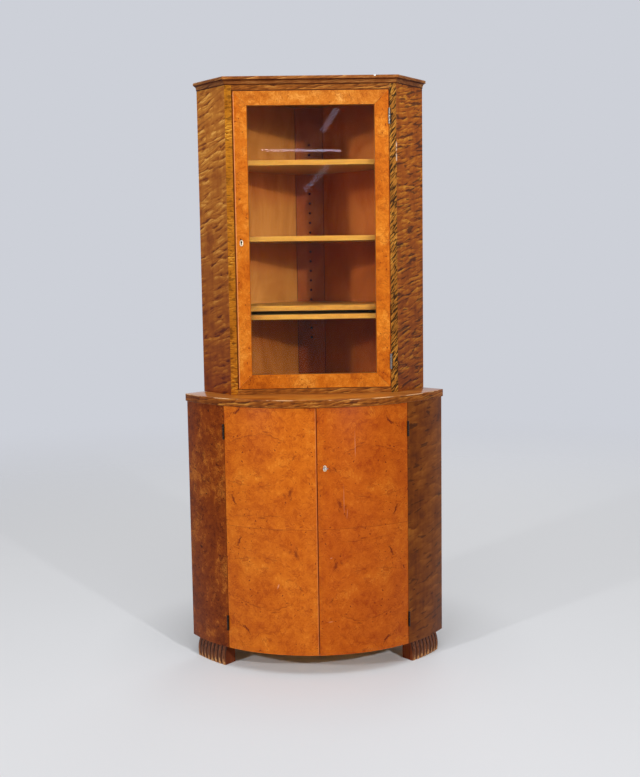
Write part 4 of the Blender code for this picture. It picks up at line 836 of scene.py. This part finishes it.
# The foot of each quilt darkens the lower part of the side: partly the veneer's tone, partly painted shade.
side_veneers(
    "left", "gold_quilted_birch",
    quilt={"colours": ("#6A300A", "#985214", "#B06A22", "#C27E2C", "#E2A650"), "pad_mm": (78.0, 21.0),
           "lean_deg": 14.0, "contrast": 0.82, "wobble": 0.6, "plain": 0.12, "fine": 0.35,
           "ticks": (60.0, 9.0, 0.16, 0.45), "foot": (0.93, 1.80, (0.50, 0.29, 0.07))},
    strip={"colours": ("#4A2204", "#96580C", "#AE6C16", "#BC7A20", "#D89E3A"), "pad_mm": (18.0, 7.0),
           "contrast": 0.7, "wobble": 0.6, "ticks": (16.0, 8.0, 0.34, 0.55),
           "foot": (0.93, 1.80, (0.85, 0.7, 0.5))})
side_veneers(
    "right", "brown_quilted_birch",
    quilt={"colours": ("#341200", "#843E06", "#A4540E", "#BA6A16", "#D6902E"), "pad_mm": (50.0, 14.0),
           "lean_deg": -12.0, "wobble": 0.6, "plain": 0.2, "ticks": (36.0, 7.0, 0.30, 0.75),
           "foot": (0.93, 1.75, (0.66, 0.60, 0.50))},
    strip={"colours": ("#180A02", "#7A4A14", "#A06420", "#B87C2C", "#D0963E"), "pad_mm": (22.0, 7.0),
           "lean_deg": 56.0, "wobble": 0.3, "ticks": (17.0, 3.2, 0.44, 0.92)},
    knock=(1.676, 1.742, 0.0016))

carcase_birch = straight_grain("lipped_amber_birch", ("#7E461C", "#985A26", "#A66830", "#B6783C"), 10.0,
                               ALONG_X, 0.42, 0.05)
add, place, wood, board_colour = open_again(carcase_birch)
lipping = add_quilt(add, place, ("#381606", "#6C360E", "#884A16", "#9C5C22", "#BE8238"), (44.0, 9.0),
                    lean_deg=8.0, plain=0.4, wobble=0.6, ticks=(30.0, 3.5, 0.24, 0.6))
facing = add("SeparateXYZ", add("TexCoord").outputs["Normal"]).outputs["Y"]
front = add("Math.LESS_THAN", facing, -0.9)
connect(board_colour, add("Mix.RGBA", front, wood, lipping))
give(carcase_birch, "upper_bottom", "upper_top")


# Shelves: loose birch boards with a pale lipping, lacquered clear.
# They lie on round pegs, and their grain runs along the front.
shelf_birch = straight_grain("clear_lacquered_birch", ("#A0621E", "#AC6E28", "#B67A2E", "#C2883C"), 9.0,
                             ALONG_X, 0.34, 0.1)
give(shelf_birch, *["upper_shelf_%d" % number for number in (1, 2, 3, 4)])


# Cornice: one moulding of stained birch, mitred at the front corners and glued down. Painted shade
# darkens the foot of its profile, a band under its upper step and its two canted lengths, and a
# chip of finish is missing on its front, near the right corner.
CORNICE_BOTTOM = 1.9245
CORNICE_HEIGHT = 0.0255
NICK_PLACE = (0.209, -0.1462, 1.9500)
NICK_REACH = 0.0042
# The third number darkens each length: painted shade, most on the left canted length.
for part, turn_deg, depth in (("front", 0.0, 1.0), ("left", SIDE_TURNS["left"], 0.78),
                              ("right", SIDE_TURNS["right"], 0.9)):
    cornice_wood, shader, add, place = new_material("stained_moulding_" + part, 0.36, 0.08)
    along = add("SeparateXYZ", add("Mapping", place, Rotation=(0.0, 0.0, math.radians(turn_deg)))).outputs
    down = add("Math.SUBTRACT", along["Z"], along["Y"])
    flat = add("CombineXYZ", along["X"], along["Y"], down)
    colour = add_quilt(add, flat, ("#321606", "#703C16", "#8E5222", "#A46A34", "#C68C4C"), (60.0, 7.0),
                       lean_deg=10.0, contrast=0.45, ticks=(60.0, 3.0, 0.2, 0.5))
    height = add("SeparateXYZ", place).outputs["Z"]
    rise = add("MapRange", height, CORNICE_BOTTOM, CORNICE_BOTTOM + CORNICE_HEIGHT)
    # Painted shade by height: darker at the foot of the profile and in a band under the upper step.
    bands = add("ValToRGB", rise, stops=(
        (0.0, "#7A5034"), (0.08, "#98704E"), (0.14, "#FFFFFF"), (0.44, "#F0E8DC"),
        (0.53, "#9C7658"), (0.60, "#A88464"), (0.64, "#FFFFFF"), (1.0, "#FFFFFF")))
    for tint in (bands, (depth, depth, depth, 1.0)):
        colour = add("Mix.RGBA", 1.0, colour, tint, blend_type="MULTIPLY")
    if part == "front":
        nick = add("VectorMath.DISTANCE", place, NICK_PLACE)
        nick = add("Math.LESS_THAN", nick, NICK_REACH)
        colour = add("Mix.RGBA", nick, colour, "#F0F0EC")
    finish_veneer(add, shader, flat, colour)
    give(cornice_wood, "cornice_" + part)


# Frame of the glazed door: four lengths faced with burr birch, mitred and glued. Dark lines of
# painted shade run along their outer edges where the gaps round the door are, a pale line on the
# left stile is a painted highlight on its arris, and thin darker lines follow the sight edges. The
# bead that holds the pane is of the same wood.
FRAME_VENEERS = (
    ("door_stile_left", 0.0, ("#9C4608", "#BC5E10", "#CA701A", "#DC8C32"),
     (("X", -0.2549, 0.0034, "#5A1A06"), ("X", -0.2505, 0.0010, "#D8925E"),
      ("X", -0.2078, 0.0014, "#8A4410"))),
    ("door_stile_right", 0.0, ("#963F06", "#BE600E", "#CE7218", "#E09030"),
     (("X", 0.2549, 0.0018, "#6A2408"), ("X", 0.2078, 0.0014, "#8A4410"))),
    ("door_rail_top", 90.0, ("#A04E0E", "#BE681A", "#CE7E2A", "#E4A04C"),
     (("Z", 1.9062, 0.0022, "#5A1A06"), ("Z", 1.8582, 0.0014, "#8A4410"))),
    ("door_rail_bottom", 90.0, ("#964406", "#BA600E", "#CA721A", "#DC9034"),
     (("Z", 0.9323, 0.0016, "#6A2408"), ("Z", 0.9803, 0.0014, "#8A4410"))),
    ("glazing_bead", 0.0, ("#A05010", "#BC6A1C", "#C87A28", "#D88E3C"), ()))
for number, (node, turn_deg, colours, lines_and_painted_light) in enumerate(FRAME_VENEERS):
    shift = (0.37 + 0.21 * number, 0.1, 0.53 + 0.17 * number)
    # The left stile's keyhole is painted dark inside as shade.
    veneer = burr_birch("burr_birch_" + node, colours, "#9A460C",
                        partial(turned_sheet, turn_deg=turn_deg, shift=shift), relief=1.12, lines_and_painted_light=lines_and_painted_light,
                        hole=UPPER_KEYHOLE if node == "door_stile_left" else None)
    give(veneer, node)


# Pane: drawn window glass, 3 mm thick, held by the bead. It keeps a faint mirror image of the room,
# and lamps shine through it into the case.
glass, shader, add, _ = new_material("drawn_window_glass", 0.0)
connect(shader.inputs["Base Color"], "#F4FAF8")
connect(shader.inputs["Transmission Weight"], 1.0)
connect(shader.inputs["IOR"], 1.16)
shadow = add("LightPath").outputs["Is Shadow Ray"]
both = add("MixShader", shadow, shader, add("BsdfTransparent", "#EEF4F2"))
connect(glass.node_tree.nodes["Material Output"].inputs["Surface"], both)
give(glass, "door_glass")


# Escutcheons: pill-shaped plates of pale brass, stamped out with their keyholes, their rims filed
# round, each held by two small pins.
PLATE_WIDTH = 0.011
PLATE_HEIGHT = 0.020
PLATE_THICKNESS = 0.0012
PLATE_BACK_Y = -0.02002
PLATE_DROP = 0.0035
PUNCH_Y = -0.0205
PUNCH_DEPTH = 0.01
PIN_HEIGHT = 0.0082
PIN_RADIUS = 0.0008


def pinned_plate(name, place):
    """One escutcheon: a disc drawn out to a pill, with its keyhole cut and its rim eased."""
    bpy.ops.mesh.primitive_cylinder_add(
        vertices=64, radius=PLATE_WIDTH / 2.0, depth=PLATE_THICKNESS,
        location=(0.0, PLATE_BACK_Y - PLATE_THICKNESS / 2.0, -PLATE_DROP),
        rotation=(math.pi / 2.0, math.pi / 64.0, 0.0))
    plate = take_new(name=name)
    start_editing(plate)
    for side in (-1.0, 1.0):
        bpy.ops.mesh.select_all(action="DESELECT")
        sheet = bmesh.from_edit_mesh(plate.data)
        for vertex in sheet.verts:
            vertex.select = (vertex.co.z + PLATE_DROP) * side > 0.0
        sheet.select_flush(True)
        bmesh.update_edit_mesh(plate.data)
        bpy.ops.transform.translate(value=(0.0, 0.0, side * (PLATE_HEIGHT - PLATE_WIDTH) / 2.0))
    end_editing()
    cut_keyhole(plate, Vector((0.0, PUNCH_Y, 0.0)), 0.0, PUNCH_DEPTH)
    ease_edges(plate, 0.00035, 3, 50.0)
    plate.data.materials.append(brass)
    for side in (-1.0, 1.0):
        bpy.ops.mesh.primitive_uv_sphere_add(
            segments=20, ring_count=10, radius=PIN_RADIUS,
            location=(0.0, PLATE_BACK_Y - PLATE_THICKNESS, -PLATE_DROP + side * PIN_HEIGHT))
        pin = take_new((1.0, 0.4, 1.0))
        bpy.ops.object.shade_smooth()
        pin.data.materials.append(brass)
        select_only(plate, pin)
        bpy.ops.object.join()
    plate.data.transform(place)
    return plate


brass = dulled_metal("pale_brass", "#F6E6CC", "#CDB48C", 0.30)
for node, place, body in (("base_escutcheon", BASE_LOCK_PLACE, "base_door_right"),
                          ("upper_escutcheon", UPPER_LOCK_PLACE, "upper_door")):
    plate = pinned_plate(node + "_plate", place)
    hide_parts(node)
    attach(plate, body)


# Key of the base lock: a turned steel shank with a collar, an oval bow and a flat bit, nickelled and
# bright where fingers polish it.
KEY_BOW_Y = -0.042
KEY_BOW_HALF = (0.0085, 0.0065)
KEY_BOW_WIRE = 0.0015
SHANK_END = KEY_BOW_Y + KEY_BOW_HALF[1] - KEY_BOW_WIRE
SHANK_TIP = 0.0092
BIT_MIDDLE_Y = 0.0052
TURNED_PARTS = ((0.0023, SHANK_END, SHANK_TIP), (0.0030, SHANK_END + 0.0038, SHANK_END + 0.0061),
                (0.0027, SHANK_END + 0.0071, SHANK_END + 0.0079))
bpy.ops.mesh.primitive_torus_add(
    major_segments=64, minor_segments=20, major_radius=KEY_BOW_HALF[0], minor_radius=KEY_BOW_WIRE,
    location=(0.0, KEY_BOW_Y, 0.0))
key = take_new((1.0, KEY_BOW_HALF[1] / KEY_BOW_HALF[0], 1.0), "base_key_turned")
parts_of_key = [key]
for radius, start, end in TURNED_PARTS:
    bpy.ops.mesh.primitive_cylinder_add(
        vertices=40, radius=radius, depth=end - start, location=(0.0, (start + end) / 2.0, 0.0),
        rotation=(math.pi / 2.0, 0.0, 0.0))
    parts_of_key.append(take_new(name="turned"))
    ease_edges(parts_of_key[-1], 0.0003, 2)
bpy.ops.mesh.primitive_cube_add(size=1.0, location=(0.004, BIT_MIDDLE_Y, 0.0))
bit = take_new((0.008, 0.0072, 0.0018), "bit")
cut_box(bit, (0.0072, BIT_MIDDLE_Y, 0.0), 0.0, (0.0026, 0.0014, 0.01))
ease_edges(bit, 0.0002, 2)
select_only(*parts_of_key, bit)
bpy.ops.object.join()
bpy.ops.object.shade_smooth_by_angle(angle=math.radians(40.0))
key.data.transform(BASE_LOCK_PLACE)
key.data.materials.append(dulled_metal("nickelled_steel", "#D8D6D4", "#A8A4A0", 0.22))
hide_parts("base_key")
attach(key, "base_key")


# Boards carried over as they are: their arrises are broken with a plane stroke or rubbed round in
# sanding, so each sharp edge gets a small round.
for width, names in (
        (0.0005, ("door_stile_left", "door_stile_right", "door_rail_top", "door_rail_bottom")),
        (BOARD_ROUND, ("upper_side_left", "upper_side_right", "upper_bottom", "upper_top", "upper_shelf_1",
                       "upper_shelf_2", "upper_shelf_3", "upper_shelf_4", "upper_door_stop", "base_bottom",
                       "base_shelf", "base_front_rail", "foot_back")),
        (0.0006, ("cornice_front", "cornice_left", "cornice_right"))):
    for name in names:
        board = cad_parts[name]
        board.modifiers.new("joined", "WELD").merge_threshold = 0.000005
        flat_faces = board.modifiers.new("flat_faces", "DECIMATE")
        flat_faces.decimate_type = "DISSOLVE"
        flat_faces.angle_limit = math.radians(0.5)
        rounded = board.modifiers.new("rounded", "BEVEL")
        rounded.width = width
        rounded.segments = 2
        rounded.limit_method = "ANGLE"
        rounded.angle_limit = math.radians(35.0)


# Stage: a pale floor that fades out into the pale background, so that no edge or horizon shows.
# Away from the cabinet the camera sees about half of it as plain brightness, so it stays even there.
bpy.ops.mesh.primitive_circle_add(vertices=96, radius=9.0, fill_type="NGON", location=(0.0, 0.0, -0.0005))
floor = bpy.context.object
floor.name = "studio_floor"
floor_paint, shader, add, place = new_material("pale_floor", 0.75)
connect(shader.inputs["Base Color"], "#E6E8EC")
reach = add("VectorMath.LENGTH", place)
away = add("MapRange", reach, 0.30, 0.80, 0.0, 0.55)
share = add("Math.MULTIPLY", add("LightPath").outputs["Is Camera Ray"], away)
paint = add("MixShader", share, shader, add("Emission", "#E2E3E6", 1.0))
fade = add("MapRange", reach, 1.6, 6.0, interpolation_type="SMOOTHSTEP")
faded = add("MixShader", fade, paint, add("BsdfTransparent"))
connect(floor_paint.node_tree.nodes["Material Output"].inputs["Surface"], faded)
floor.data.materials.append(floor_paint)


# Light: a small lamp at the front left and the front right, which throw the shelves' shadows on the
# backs, a large soft one above and behind, and a dim room all round. Three faint violet tubes are
# there for the pane and the lacquer alone.
def add_lamp(name, turn, middle, size, power):
    """An area lamp that the camera doesn't see."""
    lamp = bpy.data.lights.new(name, "AREA")
    lamp.shape = "RECTANGLE"
    lamp.size, lamp.size_y = size
    lamp.energy = power
    holder = bpy.data.objects.new(name, lamp)
    holder.rotation_euler = turn.to_euler()
    holder.location = middle
    holder.visible_camera = False
    bpy.context.scene.collection.objects.link(holder)
    return holder


for name, place, aim_height, size, power in (
        ("right_box", (2.50, -4.70, 2.57), 1.2, 0.20, 147.0),
        ("left_box", (-3.90, -3.90, 2.62), 1.1, 0.26, 131.0),
        ("top_box", (0.0, -1.6, 4.4), 1.0, 2.0, 66.0),
        ("back_box", (1.5, 4.5, 3.0), 1.0, 2.6, 60.0)):
    towards = Vector((0.0, 0.0, aim_height)) - Vector(place)
    holder = add_lamp(name, towards.to_track_quat("-Z", "Y"), place, (size, size), power)
    holder.visible_glossy = name != "back_box"
for name, start, end, width, power in (
        ("low_tube", (-0.392, -9.0, 2.581), (0.483, -9.0, 2.570), 0.026, 2.1),
        ("far_tube", (0.461, -9.0, 3.026), (0.286, -9.0, 2.779), 0.065, 0.42),
        ("faint_tube", (0.353, -9.0, 2.413), (0.082, -9.0, 2.138), 0.055, 0.38)):
    along = Vector(end) - Vector(start)
    middle = (Vector(start) + Vector(end)) / 2.0
    up = along.cross(Vector((0.0, 0.0, 1.4)) - middle).normalized()
    turn = Matrix((along.normalized(), up, along.cross(up).normalized())).transposed()
    holder = add_lamp(name, turn, middle, (along.length, width), power)
    holder.data.color = (0.86, 0.80, 1.0)
    holder.visible_diffuse = False

world = bpy.data.worlds.new("pale_room")
bpy.context.scene.world = world
world.use_nodes = True
add = partial(add_node, world)
dim_room = world.node_tree.nodes["Background"]
connect(dim_room.inputs["Color"], "#ECEAEA")
connect(dim_room.inputs["Strength"], 0.12)
rays = add("LightPath")
shown = 0.0
for ray in ("Camera", "Transmission", "Glossy"):
    shown = add("Math.MAXIMUM", shown, rays.outputs["Is %s Ray" % ray])
room = add("MixShader", shown, dim_room, add("Background", "#CDD0D8", 1.0))
connect(world.node_tree.nodes["World Output"].inputs["Surface"], room)
bpy.context.scene.view_settings.view_transform = "Standard"


# Camera: at the height of a standing person's chest, 3.8 m away, as the photograph was taken.
# It looks a little down and is tilted by less than a degree.
CAMERA_TURN = -0.023
CAMERA_DIP = 0.1133
CAMERA_TILT = -0.0149
lens = bpy.data.cameras.new("photo_lens")
lens.lens = 51.785
camera = bpy.data.objects.new("photo_camera", lens)
bpy.context.scene.collection.objects.link(camera)
camera.location = (-0.0681, -3.8416, 1.353)
aim = (Matrix.Rotation(CAMERA_TURN, 3, "Z") @ Matrix.Rotation(math.pi / 2.0 - CAMERA_DIP, 3, "X")
       @ Matrix.Rotation(CAMERA_TILT, 3, "Z"))
camera.rotation_euler = aim.to_euler()
bpy.context.scene.camera = camera
